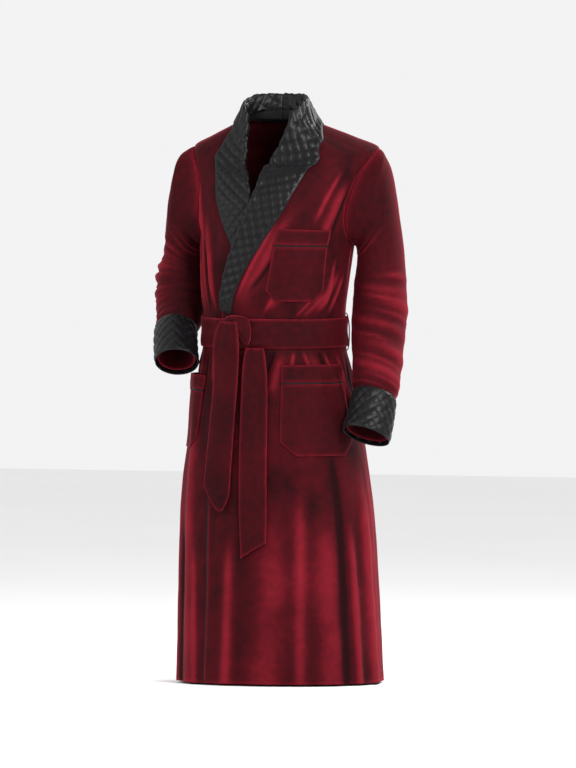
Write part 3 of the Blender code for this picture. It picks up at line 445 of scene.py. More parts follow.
# Creases finer than the solids' folds: top angle, top height, low angle, low height, half width, depth
FINE_CREASES = tuple(
    Crease(*row)
    for row in (
        (-47.0, -0.290, -39.0, -0.446, 1.5, 0.0043),
        (-56.5, -0.250, -47.5, -0.446, 1.4, -0.0041),
        (-66.0, -0.300, -57.0, -0.447, 1.6, 0.0043),
        (-77.0, -0.330, -69.0, -0.447, 1.7, 0.0038),
        (-84.0, -0.300, -80.0, -0.446, 2.0, -0.0032),
        (-63.0, -0.130, -59.0, -0.260, 2.4, 0.0041),
        (13.0, -0.200, -16.0, -0.420, 1.7, 0.0041),
        (24.0, -0.330, 3.0, -0.446, 1.5, 0.0038),
        (20.0, -0.260, -7.0, -0.400, 1.6, -0.0032),
        (48.0, -0.090, 36.0, -0.235, 2.2, 0.0043),
        (60.0, -0.130, 54.0, -0.260, 1.8, -0.0038),
        (66.0, -0.300, 56.0, -0.430, 2.0, 0.0043),
        (80.0, -0.340, 62.0, -0.447, 2.2, 0.0046),
        (46.0, -0.390, 28.0, -0.448, 1.6, 0.0035),
        (28.0, -0.522, 24.0, -0.575, 1.6, 0.0041),
        (13.0, -0.522, 3.0, -0.590, 1.5, -0.0038),
        (35.0, -0.522, 40.0, -0.570, 1.5, 0.0038),
        (50.0, -0.522, 58.0, -0.590, 1.7, -0.0038),
        (56.0, -0.522, 66.0, -0.620, 1.8, 0.0043),
        (72.0, -0.522, 86.0, -0.700, 2.2, 0.0049),
        (88.0, -0.522, 98.0, -0.760, 2.4, -0.0041),
        (-42.0, -0.522, -39.0, -0.610, 1.6, 0.0038),
        (-50.0, -0.522, -52.0, -0.640, 1.7, -0.0038),
        (-58.0, -0.522, -63.0, -0.620, 1.8, 0.0041),
        (-72.0, -0.522, -80.0, -0.640, 2.1, 0.0041),
        (-90.0, -0.700, -86.0, -1.307, 3.0, 0.0049),
        (-66.0, -0.900, -64.0, -1.307, 3.4, -0.0041),
        (-46.0, -0.960, -43.0, -1.307, 2.6, 0.0038),
        (62.0, -0.900, 66.0, -1.307, 3.2, 0.0049),
        (90.0, -0.760, 92.0, -1.307, 2.8, 0.0043),
        (26.0, -0.800, 23.0, -1.307, 4.0, 0.0038),
        (-16.0, -0.940, -18.0, -1.307, 3.4, 0.0041),
        (52.0, -0.720, 54.0, -1.307, 3.0, -0.0038),
        (136.0, -0.300, 146.0, -0.447, 2.0, 0.0043),
        (150.0, -0.200, 156.0, -0.420, 2.6, 0.0041),
        (176.0, -0.150, 180.0, -0.447, 2.4, 0.0038),
        (206.0, -0.260, 203.0, -0.447, 2.0, -0.0038),
        (222.0, -0.310, 212.0, -0.447, 2.1, 0.0046),
        (240.0, -0.280, 232.0, -0.430, 2.2, 0.0038),
        (120.0, -0.330, 130.0, -0.447, 2.0, -0.0035),
        (104.0, -0.522, 100.0, -0.720, 2.2, 0.0043),
        (132.0, -0.522, 127.0, -0.800, 2.4, 0.0046),
        (142.0, -0.522, 141.0, -0.700, 1.8, -0.0038),
        (164.0, -0.522, 162.0, -0.860, 2.4, 0.0043),
        (190.0, -0.522, 194.0, -0.820, 2.3, 0.0043),
        (202.0, -0.522, 205.0, -0.700, 1.8, -0.0038),
        (228.0, -0.522, 232.0, -0.840, 2.4, 0.0046),
        (256.0, -0.522, 261.0, -0.740, 2.2, 0.0041),
        (130.0, -0.900, 128.0, -1.307, 3.2, 0.0052),
        (168.0, -0.920, 166.0, -1.307, 3.6, -0.0043),
        (196.0, -0.880, 199.0, -1.307, 3.2, 0.0046),
        (238.0, -0.900, 240.0, -1.307, 3.0, 0.0049),
    )
)


def curve_weights(share: float) -> tuple[float, float, float, float]:
    """Weights of a soft stretch's start, start slope, end and end slope at a share of its way."""
    square = share * share
    cube = square * share
    return 2 * cube - 3 * square + 1, cube - 2 * square + share, 3 * square - 2 * cube, cube - square


def smooth_row(rows: Sequence[Sequence[float]], place: float) -> list[float]:
    """Values of a table at a place along its first column.

    Args:
        rows: table rows, the place in the first column.
        place: where to read it.

    Returns:
        The other columns' values, smoothly between the rows and never beyond them.
    """
    last = len(rows) - 2
    index = 0
    while index < last and place > rows[index + 1][0]:
        index += 1
    low = rows[index]
    high = rows[index + 1]
    before = rows[max(index - 1, 0)]
    after = rows[min(index + 2, len(rows) - 1)]
    span = high[0] - low[0]
    share = min(max((place - low[0]) / span, 0.0), 1.0)
    start, start_slope, end, end_slope = curve_weights(share)
    values = []
    for column in range(1, len(low)):
        here = (high[column] - low[column]) / span
        value = start * low[column]
        value += start_slope * span * limited_slope(before, low, here, column)
        value += end * high[column]
        value += end_slope * span * limited_slope(high, after, here, column)
        values.append(value)
    return values


def limited_slope(first: Sequence[float], second: Sequence[float], here: float, column: int) -> float:
    """Slope at a row shared by two stretches.

    Args:
        first: row at the start of the neighbouring stretch.
        second: row at its end.
        here: slope of the stretch itself.
        column: column of the table.

    Returns:
        The harmonic mean of both slopes, or 0 where they turn.
    """
    span = second[0] - first[0]
    if span <= 0.0:
        return here
    other = (second[column] - first[column]) / span
    if other * here <= 0.0:
        return 0.0
    return 2.0 * other * here / (other + here)


def ease(value: float, start: float, end: float) -> float:
    """Soft step from 0 at start to 1 at end."""
    share = min(max((value - start) / (end - start), 0.0), 1.0)
    return share * share * (3.0 - 2.0 * share)


def spaced(start: float, end: float, count: int) -> list[float]:
    """Evenly spaced values from start to end, both included."""
    return [start + (end - start) * step / count for step in range(count + 1)]


@lru_cache(maxsize=4096)
def body_ring(height: float) -> tuple[float, ...]:
    """Half width, depths, shifts and drops of the body form at a height."""
    return tuple(smooth_row(BODY_RINGS, height))


def form_point(angle: float, height: float) -> Vector:
    """Point of the smooth body form, without folds."""
    half, front, back, shift_x, shift_y, front_drop, back_drop = body_ring(height)
    across = math.sin(math.radians(angle))
    along = math.cos(math.radians(angle))
    depth = front if along > 0.0 else back
    drop = front_drop if along > 0.0 else back_drop
    x = shift_x + half * math.copysign(abs(across) ** ROUNDNESS, across)
    y = shift_y - depth * math.copysign(abs(along) ** ROUNDNESS, along)
    return Vector((x, y, height - drop * along * along))


def form_normal(angle: float, height: float) -> Vector:
    """Outward direction of the smooth body form."""
    upper = min(height + NORMAL_RISE, NECKLINE)
    lower = max(height - NORMAL_RISE, HEM)
    round_body = form_point(angle + NORMAL_TURN, height) - form_point(angle - NORMAL_TURN, height)
    up_body = form_point(angle, upper) - form_point(angle, lower)
    return round_body.cross(up_body).normalized()


FOLDS = tuple(Crease(*row) for row in BODY_FOLDS)


def fold_height(angle: float, height: float) -> float:
    """How far the solids' folds stand out at a point."""
    return sum(fold.height_at(angle, height) for fold in FOLDS)


def fine_height(angle: float, height: float) -> float:
    """Relief of the fine creases and of the pile's slight unevenness at a point.

    Args:
        angle: degrees round the body from the centre front.
        height: height on the body form.

    Returns:
        Metres out of the folded form.
    """
    total = sum(crease.height_at(angle, height) for crease in FINE_CREASES)
    turn = math.radians(angle)
    place = Vector((math.sin(turn) * PILE_ROUND, math.cos(turn) * PILE_ROUND, height * PILE_ALONG))
    for rise, scale in PILE_WAVES:
        total += rise * noise.noise(place * scale)
    return total


def body_point(angle: float, height: float, lift: float) -> Vector:
    """Point on the body form, moved out by its folds and a lift."""
    outward = fold_height(angle, height) + lift
    return form_point(angle, height) + form_normal(angle, height) * outward


def wrap_lift(angle: float, height: float) -> float:
    """Lift of the wearer's left front, which lies over the right front and its collar."""
    high = WRAP_WAIST + (WRAP_HIGH - WRAP_WAIST) * ease(height, *WRAP_RISE)
    level = WRAP_LOW + (high - WRAP_LOW) * ease(height, *WRAP_SETTLE)
    return level * (1.0 - ease(angle, *WRAP_FADE))


def no_lift(angle: float, height: float) -> float:
    """Lift of what lies on the body form itself."""
    return 0.0


def over_lift(angle: float, height: float) -> float:
    """Lift of what goes right round on top, down beside the wrapped edge."""
    if angle > 180.0:
        angle -= 360.0
    return wrap_lift(angle, height) * ease(angle, *WRAP_EDGE_STEP)


def left_edge(height: float) -> float:
    """Angle of the left front's opening edge."""
    return smooth_row(LEFT_EDGE, height)[0]


def right_edge(height: float) -> float:
    """Angle of the right front's opening edge."""
    return smooth_row(RIGHT_EDGE, height)[0]


def armhole_inset(height: float) -> float:
    """How far the round armhole cuts into front and back, in degrees."""
    share = (height - ARMHOLE_MIDDLE) / ARMHOLE_HALF
    return ARMHOLE_INSET * math.sqrt(max(1.0 - share * share, 0.0))


def side_seam(height: float) -> float:
    """Angle of the side seam, and of the armhole's middle above it."""
    return HIP_SEAM + (ARMHOLE_SEAM - HIP_SEAM) * ease(height, HIP, ARMHOLE_LOW)


def front_side_edge(height: float) -> float:
    """Angle where a front meets the side seam, the armhole or the shoulder seam."""
    return side_seam(height) - armhole_inset(height) - SEAM_HALF_ANGLE


def back_side_edge(height: float) -> float:
    """Angle where the back meets the same seams."""
    return side_seam(height) + armhole_inset(height) + SEAM_HALF_ANGLE


def right_front_side_edge(height: float) -> float:
    """Angle of the right front's edge at the wearer's right side."""
    return -front_side_edge(height)


def right_back_side_edge(height: float) -> float:
    """Angle of the back's edge at the wearer's right side."""
    return 360.0 - back_side_edge(height)


def fine_rows() -> list[float]:
    """Heights of the fine rows of a long panel, closer round the armhole and the neck."""
    skirt, chest, armhole, neck = PANEL_STEPS
    rows = spaced(HEM, PANEL_BREAK, skirt)[:-1]
    rows += spaced(PANEL_BREAK, ARMHOLE_LOW, chest)[:-1]
    for share in spaced(0.0, 1.0, armhole)[:-1]:
        rows.append(ARMHOLE_MIDDLE - ARMHOLE_HALF * math.cos(math.pi * share))
    return rows + spaced(ARMHOLE_TOP, NECKLINE, neck)


def running_lengths(points: Sequence[Vector]) -> list[float]:
    """Way from the first point to each point, in metres."""
    lengths = [0.0]
    for first, second in zip(points, points[1:]):
        lengths.append(lengths[-1] + (second - first).length)
    return lengths


def smooth_line(points: Sequence[Vector], count: int) -> list[Vector]:
    """Evenly spaced points along a soft curve through some points.

    Args:
        points: points that the curve runs through.
        count: number of equal steps.

    Returns:
        count + 1 points from the first to the last.
    """
    fine = []
    for index in range(len(points) - 1):
        before = points[max(index - 1, 0)]
        here = points[index]
        following = points[index + 1]
        after = points[min(index + 2, len(points) - 1)]
        span = (following - here).length
        start = (following - before) * (span / max((following - before).length, SHORTEST))
        end = (after - here) * (span / max((after - here).length, SHORTEST))
        for step in range(LINE_STEPS):
            weights = curve_weights(step / LINE_STEPS)
            fine.append(here * weights[0] + start * weights[1] + following * weights[2] + end * weights[3])
    fine.append(points[-1])
    lengths = running_lengths(fine)
    line = []
    index = 0
    for wanted in spaced(0.0, lengths[-1], count):
        while index < len(fine) - 2 and lengths[index + 1] < wanted:
            index += 1
        share = (wanted - lengths[index]) / max(lengths[index + 1] - lengths[index], SHORTEST_STEP)
        line.append(fine[index].lerp(fine[index + 1], min(share, 1.0)))
    return line


Surface = Callable[[float, float], Vector]
Relief = Callable[[float, float], float]
Edge = Callable[[float], float]
Flat = tuple[float, float]
Grid = list[list[Vector]]
Lengths = list[list[float]]
Places = dict[bmesh.types.BMVert, tuple[int, int]]
Socket = bpy.types.NodeSocket


def quilting(across: float, along: float) -> float:
    """Height of the quilted diamonds, 1 on their middles and 0 on the stitched lines.

    Args:
        across: metres across the piece.
        along: metres along the piece.

    Returns:
        Share of the full rise.
    """
    first = abs(math.sin(math.pi * (along + across) / QUILT_DIAGONAL))
    second = abs(math.sin(math.pi * (along - across) / QUILT_DIAGONAL))
    return (first * second) ** QUILT_ROUNDING


def meeting(first: Flat, second: Flat, from_first: float, from_second: float) -> Flat:
    """Flat point at given distances from two others, left of the way from first to second.

    Args:
        first: one known point.
        second: the other.
        from_first: distance from the first.
        from_second: distance from the second.

    Returns:
        Its two coordinates.
    """
    span_x = second[0] - first[0]
    span_y = second[1] - first[1]
    span = max(math.hypot(span_x, span_y), SHORTEST)
    along = (from_first**2 - from_second**2 + span**2) / (2.0 * span)
    off = math.sqrt(max(from_first**2 - along**2, 0.0))
    x = first[0] + (span_x * along - span_y * off) / span
    y = first[1] + (span_y * along + span_x * off) / span
    return x, y


def grid_places(bm: bmesh.types.BMesh, columns: int, last: int) -> Places:
    """Column and row of every point of a new grid, which fills the square from -1 to 1."""
    places = {}
    for vert in bm.verts:
        places[vert] = (round((vert.co.x + 1.0) / 2.0 * columns), round((vert.co.y + 1.0) / 2.0 * last))
    return places


def add_object(name: str, bm: bmesh.types.BMesh) -> bpy.types.Object:
    """Put a mesh into the scene as an object, and free the one that it was made from."""
    mesh = bpy.data.meshes.new(name)
    bm.to_mesh(mesh)
    bm.free()
    made = bpy.data.objects.new(name, mesh)
    bpy.context.scene.collection.objects.link(made)
    return made


@dataclass
class Sheet:
    """Piece of cloth as a grid of points, thickened inwards.

    rows holds the values that surface reads along the piece; it reads 0 to 1 across.
    """

    node: str
    surface: Surface
    columns: int
    rows: Sequence[float]
    thickness: float
    cloth: Cloth
    outward: Vector | None = None
    closed: bool = False
    quilted: bool = False
    quilt_from: float = 0.0
    diamonds_round: int = 0
    rise: float = QUILT_RISE
    # painted highlight on ridges and painted shade in troughs, by share across and row
    painted_light: Relief | None = None

    def grid(self) -> Grid:
        """Points of every row."""
        shares = spaced(0.0, 1.0, self.columns)
        return [[self.surface(share, row) for share in shares] for row in self.rows]

    def lengths(self, grid: Grid) -> tuple[Lengths, list[float]]:
        """Distances across each row and along the piece, in metres."""
        middle = self.columns // 2
        return [running_lengths(line) for line in grid], running_lengths([line[middle] for line in grid])

    def build(self) -> bpy.types.Object:
        """Make the piece's object with its map of metres, its attribute of painted highlight and shade, and
        its attribute of painted edge highlight.
        """
        grid = self.grid()
        across, along = self.lengths(grid)
        last = len(self.rows) - 1
        bm = bmesh.new()
        bmesh.ops.create_grid(bm, x_segments=self.columns, y_segments=last, size=1.0)
        painted_light = bm.verts.layers.float.new("painted_light")
        edge = bm.verts.layers.float.new("edge")
        cloth_map = bm.loops.layers.uv.new("cloth")
        places = grid_places(bm, self.columns, last)
        for vert, (column, row) in places.items():
            vert.co = grid[row][column]
            # painted highlight on ridges and painted shade in troughs, stored per point
            vert[painted_light] = self.painted_light(column / self.columns, self.rows[row]) if self.painted_light else 0.0
            near = min(along[row], along[last] - along[row])
            if not self.closed:
                near = min(near, across[row][column], across[row][-1] - across[row][column])
            # painted highlight along the open edges, stored per point
            vert[edge] = math.exp(-((near / EDGE_HIGHLIGHT_REACH) ** 2))
        for face in bm.faces:
            for loop in face.loops:
                column, row = places[loop.vert]
                loop[cloth_map].uv = (across[row][column], along[row])
        bm.normal_update()
        if self.outward is not None:
            faces = bm.faces[:]
            pick = faces[(last // 2) * self.columns + self.columns // 2]
            if pick.normal.dot(self.outward) < 0.0:
                bmesh.ops.reverse_faces(bm, faces=bm.faces)
                bm.normal_update()
        if self.quilted:
            self.raise_quilting(places, grid, across, along)
        if self.closed:
            bmesh.ops.remove_doubles(bm, verts=bm.verts, dist=WELD)
        for face in bm.faces:
            face.smooth = True
        piece = add_object(self.node + "_cloth", bm)
        shell = piece.modifiers.new("wall", "SOLIDIFY")
        shell.thickness = self.thickness
        shell.offset = -1.0
        width = sum(run[-1] for run in across) / len(across)
        LOG.info("%s: about %.3f m wide, %.3f m long", self.node, width, along[-1])
        return piece

    def raise_quilting(self, places: Places, grid: Grid, across: Lengths, along: list[float]) -> None:
        """Move the points out over the diamonds, by their distances in metres.

        Args:
            places: column and row of every point.
            grid: points of every row, as they were before.
            across: distances across each row.
            along: distances along the piece.
        """
        moves = {}
        flat = None if self.diamonds_round else self.unrolled(grid, across)
        for vert, (column, row) in places.items():
            if column / self.columns < self.quilt_from:
                continue
            if flat is None:
                run = column / self.columns * self.diamonds_round * QUILT_DIAGONAL
                height = quilting(run, along[row])
            else:
                height = quilting(*flat[row][column])
            near = min(along[row], along[-1] - along[row])
            if not self.closed:
                near = min(near, across[row][-1] - across[row][column])
            moves[vert] = vert.normal * (self.rise * height * ease(near, *QUILT_MARGIN))
        for vert, move in moves.items():
            vert.co += move

    def unrolled(self, grid: Grid, across: Lengths) -> list[list[Flat]]:
        """Flat places of the points, the strip between the fold and the outer edge unrolled.

        Args:
            grid: points of every row.
            across: distances across each row.

        Returns:
            For each row and column its place across and along the flat cloth, in metres.
        """
        fold = round(self.quilt_from * self.columns)
        last = len(grid) - 1
        ends = {last: ((0.0, 0.0), (across[last][-1] - across[last][fold], 0.0))}
        for row in range(last - 1, -1, -1):
            inner, outer = ends[row + 1]
            below = grid[row + 1]
            here = grid[row]
            width = across[row][-1] - across[row][fold]
            bowed = (across[row + 1][-1] - across[row + 1][fold]) / (below[-1] - below[fold]).length
            slanting = (here[fold] - below[-1]).length * bowed
            start = meeting(inner, outer, (here[fold] - below[fold]).length, slanting)
            end = meeting(start, outer, width, (here[-1] - below[-1]).length)
            ends[row] = (start, end)
        (start_x, start_y), (end_x, end_y) = ends[round(SQUARE_AT * last)]
        turn = -math.atan2(end_y - start_y, end_x - start_x)
        cosine = math.cos(turn)
        sine = math.sin(turn)
        for row, pair in ends.items():
            ends[row] = tuple((x * cosine - y * sine, x * sine + y * cosine) for x, y in pair)
        places = []
        for row in range(last + 1):
            (start_x, start_y), (end_x, end_y) = ends[row]
            width = across[row][-1] - across[row][fold]
            line = []
            for run in across[row]:
                share = (run - across[row][fold]) / width
                line.append((start_x + (end_x - start_x) * share, start_y + (end_y - start_y) * share))
            places.append(line)
        return places


@dataclass
class Cord:
    """Round cord along a route of points."""

    name: str
    route: Sequence[Vector]
    radius: float
    sides: int = 12
    aside: tuple[float, float, float] = (0.13, 0.99, 0.07)
    map_width: float = 0.01

    def build(self) -> bpy.types.Object:
        """Make the cord's closed tube."""
        last = len(self.route) - 1
        bm = bmesh.new()
        bmesh.ops.create_grid(bm, x_segments=self.sides, y_segments=last, size=1.0)
        cloth_map = bm.loops.layers.uv.new("cloth")
        along = running_lengths(self.route)
        places = grid_places(bm, self.sides, last)
        for vert, (column, row) in places.items():
            ahead = self.route[min(row + 1, last)]
            behind = self.route[max(row - 1, 0)]
            forward = (ahead - behind).normalized()
            side = forward.cross(Vector(self.aside)).normalized()
            up = side.cross(forward)
            turn = 2.0 * math.pi * column / self.sides
            vert.co = self.route[row] + (side * math.cos(turn) + up * math.sin(turn)) * self.radius
        for face in bm.faces:
            face.smooth = True
            for loop in face.loops:
                column, row = places[loop.vert]
                loop[cloth_map].uv = (column / self.sides * self.map_width, along[row])
        bmesh.ops.remove_doubles(bm, verts=bm.verts, dist=WELD)
        bmesh.ops.holes_fill(bm, edges=[edge for edge in bm.edges if edge.is_boundary], sides=0)
        bmesh.ops.recalc_face_normals(bm, faces=bm.faces)
        return add_object(self.name, bm)


def panel_surface(edge_from: Edge, edge_to: Edge, lift: Relief) -> Surface:
    """Surface of a long panel between two edges that follow the height.

    Args:
        edge_from: angle of the edge at share 0, by height.
        edge_to: angle of the edge at share 1, by height.
        lift: lift of the panel's inner side, by angle and height.

    Returns:
        Outer point by share across and height.
    """

    def surface(share: float, height: float) -> Vector:
        """Outer point of the panel."""
        start = edge_from(height)
        angle = start + (edge_to(height) - start) * share
        outward = lift(angle, height) + VELVET + fine_height(angle, height)
        return body_point(angle, height, outward)

    return surface


def panel_painted_light(edge_from: Edge, edge_to: Edge) -> Relief:
    """Share of painted highlight on a panel's ridges and painted shade in its troughs, by share across and
    height.
    """

    def painted_light(share: float, height: float) -> float:
        """Painted highlight on the ridges, painted shade in the troughs."""
        start = edge_from(height)
        angle = start + (edge_to(height) - start) * share
        ridge = fold_height(angle, height) + FINE_RELIEF_LIGHT_SHARE * fine_height(angle, height)
        return min(max(ridge / FULL_HIGHLIGHT_RIDGE, DEEPEST_PAINTED_SHADE), 1.0)

    return painted_light


@dataclass(frozen=True)
class CollarShape:
    """Half of the shawl collar, laid along one front's opening edge."""

    stations: Sequence[Sequence[float]]
    edge: Edge
    lift: Relief
    right: bool

    def base(self, station: Sequence[float], share: float, lift: float) -> Vector:
        """Point under the collar: share 0 is the fold line, 1 the outer edge."""
        fold_angle, fold_at, edge_angle, edge_at = station[:4]
        angle = fold_angle + (edge_angle - fold_angle) * share
        height = min(fold_at + (edge_at - fold_at) * share, NECKLINE)
        outward = self.lift(angle, height) + lift + COLLAR_FINE_SHARE * fine_height(angle, height)
        return body_point(angle, height, outward)

    @lru_cache(maxsize=4096)
    def section(self, place: float) -> tuple[Vector, ...]:
        """Points across the collar at a place along it, from the strip inside to the outer edge."""
        station = smooth_row(self.stations, place)
        if station[1] < NECKLINE - ROUND_OFF:
            station[0] = self.edge(station[1])
        start = self.base(station, 0.0, 0.0)
        end = self.base(station, 1.0, 0.0)
        width = (end - start).length
        clear = (end - start) / width * -FOLD_CLEARANCE
        rise = Vector((0.0, 0.0, station[4]))
        above = VELVET + COLLAR_LIFT
        points = [
            self.base(station, min(STRIP_WIDTH / width, STRIP_LARGEST_SHARE), -STRIP_LIFT),
            self.base(station, 0.0, -STRIP_LIFT) + clear,
            self.base(station, 0.0, above) + clear + rise,
        ]
        for share in COLLAR_SHARES:
            points.append(self.base(station, share, above) + rise * (1.0 - share) ** FALL_CURVE)
        if place == 0.0:
            middle = form_point(180.0, NECKLINE).x + (-COLLAR_HALF_SEAM if self.right else COLLAR_HALF_SEAM)
            points = [Vector((middle, point.y, point.z)) for point in points]
        return tuple(smooth_line(points, COLLAR_COLUMNS))

    def surface(self, share: float, place: float) -> Vector:
        """Outer point by share across and place along."""
        return self.section(place)[round(share * COLLAR_COLUMNS)].copy()


@lru_cache(maxsize=4096)
def sleeve_section(side: str, place: float) -> tuple[Vector, Vector, Vector]:
    """Middle, outer half and depth half of a sleeve at a place along it."""
    stations = LEFT_SLEEVE if side == "left" else RIGHT_SLEEVE

    def middle_at(where: float) -> Vector:
        """Middle of the section."""
        row = smooth_row(stations, where)
        return (Vector(row[0:3]) + Vector(row[3:6])) / 2.0

    row = smooth_row(stations, place)
    across = (Vector(row[0:3]) - Vector(row[3:6])) / 2.0
    forward = (middle_at(place + SLEEVE_REACH) - middle_at(place - SLEEVE_REACH)).normalized()
    depth = across.cross(forward).normalized()
    if depth.y > 0.0:
        depth = -depth
    return middle_at(place), across, depth * row[6]


# Sleeve wrinkles finer than the solids': side, place, angle round, half length, half angle, height
FINE_WRINKLES = (
    ("left", 5.60, 40.0, 0.10, 46.0, 0.0041),
    ("left", 6.40, 75.0, 0.09, 42.0, 0.0043),
    ("left", 7.15, 40.0, 0.10, 52.0, 0.0043),
    ("left", 8.10, 95.0, 0.10, 44.0, 0.0043),
    ("left", 9.05, 70.0, 0.10, 60.0, 0.0046),
    ("left", 10.00, 40.0, 0.11, 62.0, 0.0043),
    ("left", 10.40, 110.0, 0.10, 50.0, 0.0038),
    ("left", 3.30, 120.0, 0.16, 40.0, 0.0038),
    ("left", 2.40, 150.0, 0.18, 34.0, 0.0041),
    ("left", 6.20, 230.0, 0.10, 50.0, 0.0041),
    ("left", 8.20, 250.0, 0.12, 60.0, 0.0043),
    ("left", 9.60, 280.0, 0.12, 50.0, 0.0041),
    ("right", 5.10, 40.0, 0.09, 50.0, 0.0048),
    ("right", 5.78, 30.0, 0.08, 52.0, 0.0051),
    ("right", 6.42, 0.0, 0.08, 56.0, 0.0054),
    ("right", 7.12, 20.0, 0.10, 60.0, 0.0051),
    ("right", 8.00, 10.0, 0.12, 56.0, 0.0048),
    ("right", 8.50, 40.0, 0.10, 50.0, 0.0041),
    ("right", 4.00, 90.0, 0.14, 36.0, 0.0044),
    ("right", 3.00, 140.0, 0.16, 34.0, 0.0044),
    ("right", 2.20, 155.0, 0.16, 30.0, 0.0044),
    ("right", 5.60, 330.0, 0.10, 44.0, 0.0048),
    ("right", 6.90, 300.0, 0.12, 50.0, 0.0048),
)


def wrinkle_height(side: str, place: float, turn: float) -> float:
    """How far the wrinkles of a sleeve stand out.

    Args:
        side: "left" or "right".
        place: place along the sleeve.
        turn: degrees round it from its outer line, by the front.

    Returns:
        Metres out of the smooth sleeve.
    """
    total = 0.0
    for wrinkle_side, at, angle, half_length, half_angle, height in SLEEVE_WRINKLES + FINE_WRINKLES:
        if wrinkle_side != side:
            continue
        round_away = (turn - angle + 180.0) % 360.0 - 180.0
        along_away = place - at + WRINKLE_SLANT * round_away
        total += height * math.exp(-((along_away / half_length) ** 2) - (round_away / half_angle) ** 2)
    return total


def sleeve_point(side: str, place: float, turn: float, lift: float) -> Vector:
    """Point of a sleeve at a place along it and degrees round it, moved out by a lift."""
    middle, across, depth = sleeve_section(side, place)
    front = math.sin(math.radians(turn))
    outer = math.cos(math.radians(turn))
    arm = across * outer + depth * front
    fade = ease(place, 1.0, 2.0)
    wave = SLEEVE_WAVE * noise.noise(Vector((place * SLEEVE_WAVE_ALONG, front, outer)))
    return middle + arm + arm.normalized() * (lift + wrinkle_height(side, place, turn) + fade * wave)


def armhole_point(side: str, turn: float) -> Vector:
    """Point of the armhole's edge on the panels' outer side, from the shoulder round by the front."""
    height = ARMHOLE_MIDDLE + ARMHOLE_HALF * math.cos(math.radians(turn))
    sign = 1.0 if side == "left" else -1.0
    if turn <= 180.0:
        angle = sign * front_side_edge(height)
        lift = wrap_lift(angle, height) if side == "left" else 0.0
        return body_point(angle, height, lift + VELVET)
    return body_point(sign * back_side_edge(height), height, VELVET)


def sleeve_surface(side: str) -> Surface:
    """Surface of a sleeve: places below 1 run from the armhole seam to the first ring."""

    def surface(share: float, place: float) -> Vector:
        """Outer point of the sleeve."""
        turn = 360.0 * (share % 1.0)
        if place >= 1.0:
            return sleeve_point(side, place, turn, VELVET)
        start = armhole_point(side, turn)
        end = sleeve_point(side, 1.0, turn, VELVET)
        span = (end - start).length
        seat = SEAM_SEAT / max(span, SEAM_SHORTEST)
        full = math.sin(math.pi * place) * SEAM_FULLNESS
        arm = (end - sleeve_section(side, 1.0)[0]).normalized()
        return start.lerp(end, seat + (1.0 - seat) * place) + arm * full

    return surface


def sleeve_painted_light(side: str) -> Relief:
    """Painted highlight on a sleeve's ridges and down its outer line."""

    def painted_light(share: float, place: float) -> float:
        """Share of painted highlight."""
        turn = 360.0 * (share % 1.0)
        # painted highlight down the sleeve's outer line
        rim = SLEEVE_RIM_HIGHLIGHT * math.exp(-((min(turn, 360.0 - turn) / SLEEVE_RIM_ANGLE) ** 2))
        return min(wrinkle_height(side, place, turn) / SLEEVE_FULL_HIGHLIGHT_RIDGE + rim, 1.0)

    return painted_light


def cuff_surface(side: str) -> Surface:
    """Surface of a turned cuff over the sleeve's end."""
    start = CUFF_START[side]
    length = CUFF_END[side] - start

    def surface(share: float, place: float) -> Vector:
        """Outer point of the cuff, before its quilting."""
        flare = CUFF_FLARE * (place - start) / length
        lift = VELVET + CUFF_CLEARANCE + SATIN + flare
        return sleeve_point(side, place, 360.0 * (share % 1.0), lift)

    return surface


@dataclass(frozen=True)
class PocketShape:
    """Patch pocket: front and back angle, top, band's lower line, bottom and stand-off of the mouth."""

    front: float
    back: float
    top: float
    band_low: float
    bottom: float
    stand: float
    wrapped: bool
    lean: float = 0.0

    def point(self, share: float, height: float, lift: float) -> Vector:
        """Point over the pocket, share running from its front to its back edge."""
        drop = (self.top - height) / (self.top - self.bottom)
        angle = self.front + (self.back - self.front) * share - self.lean * drop * (1.0 - share)
        base = wrap_lift(angle, height) if self.wrapped else 0.0
        open_share = math.sin(math.pi * share) * (1.0 - ease(drop, 0.0, 1.0))
        bulge = self.stand * max(open_share, 0.0) ** MOUTH_ROUNDING
        fine = POCKET_FINE_SHARE * fine_height(angle, height)
        return body_point(angle, height, base + VELVET + POCKET_SEAT + bulge + lift + fine)

    def bag(self, share: float, row: float) -> Vector:
        """Outer point of the bag, its lower corners clipped."""
        corner = max(0.0, CORNER_CUT - share, share - (1.0 - CORNER_CUT)) / CORNER_CUT
        low = self.bottom + CORNER_RISE * corner * (self.top - self.bottom)
        high = self.band_low - PIPING_RADIUS - PIPING_GAP
        return self.point(share, high + (low - high) * row, POCKET_WALL)

    def band(self, share: float, row: float) -> Vector:
        """Outer point of the band along the mouth."""
        low = self.band_low + PIPING_RADIUS + PIPING_GAP
        return self.point(share, self.top + (low - self.top) * row, BAND_WALL)

    def piping(self) -> list[Vector]:
        """Route of the cord between band and bag."""
        return [self.point(share, self.band_low, PIPING_RADIUS) for share in spaced(0.0, 1.0, 60)]


def belt_lift(angle: float, height: float) -> float:
    """Lift of the belt's inner side."""
    return over_lift(angle, height) + VELVET + BELT_SEAT


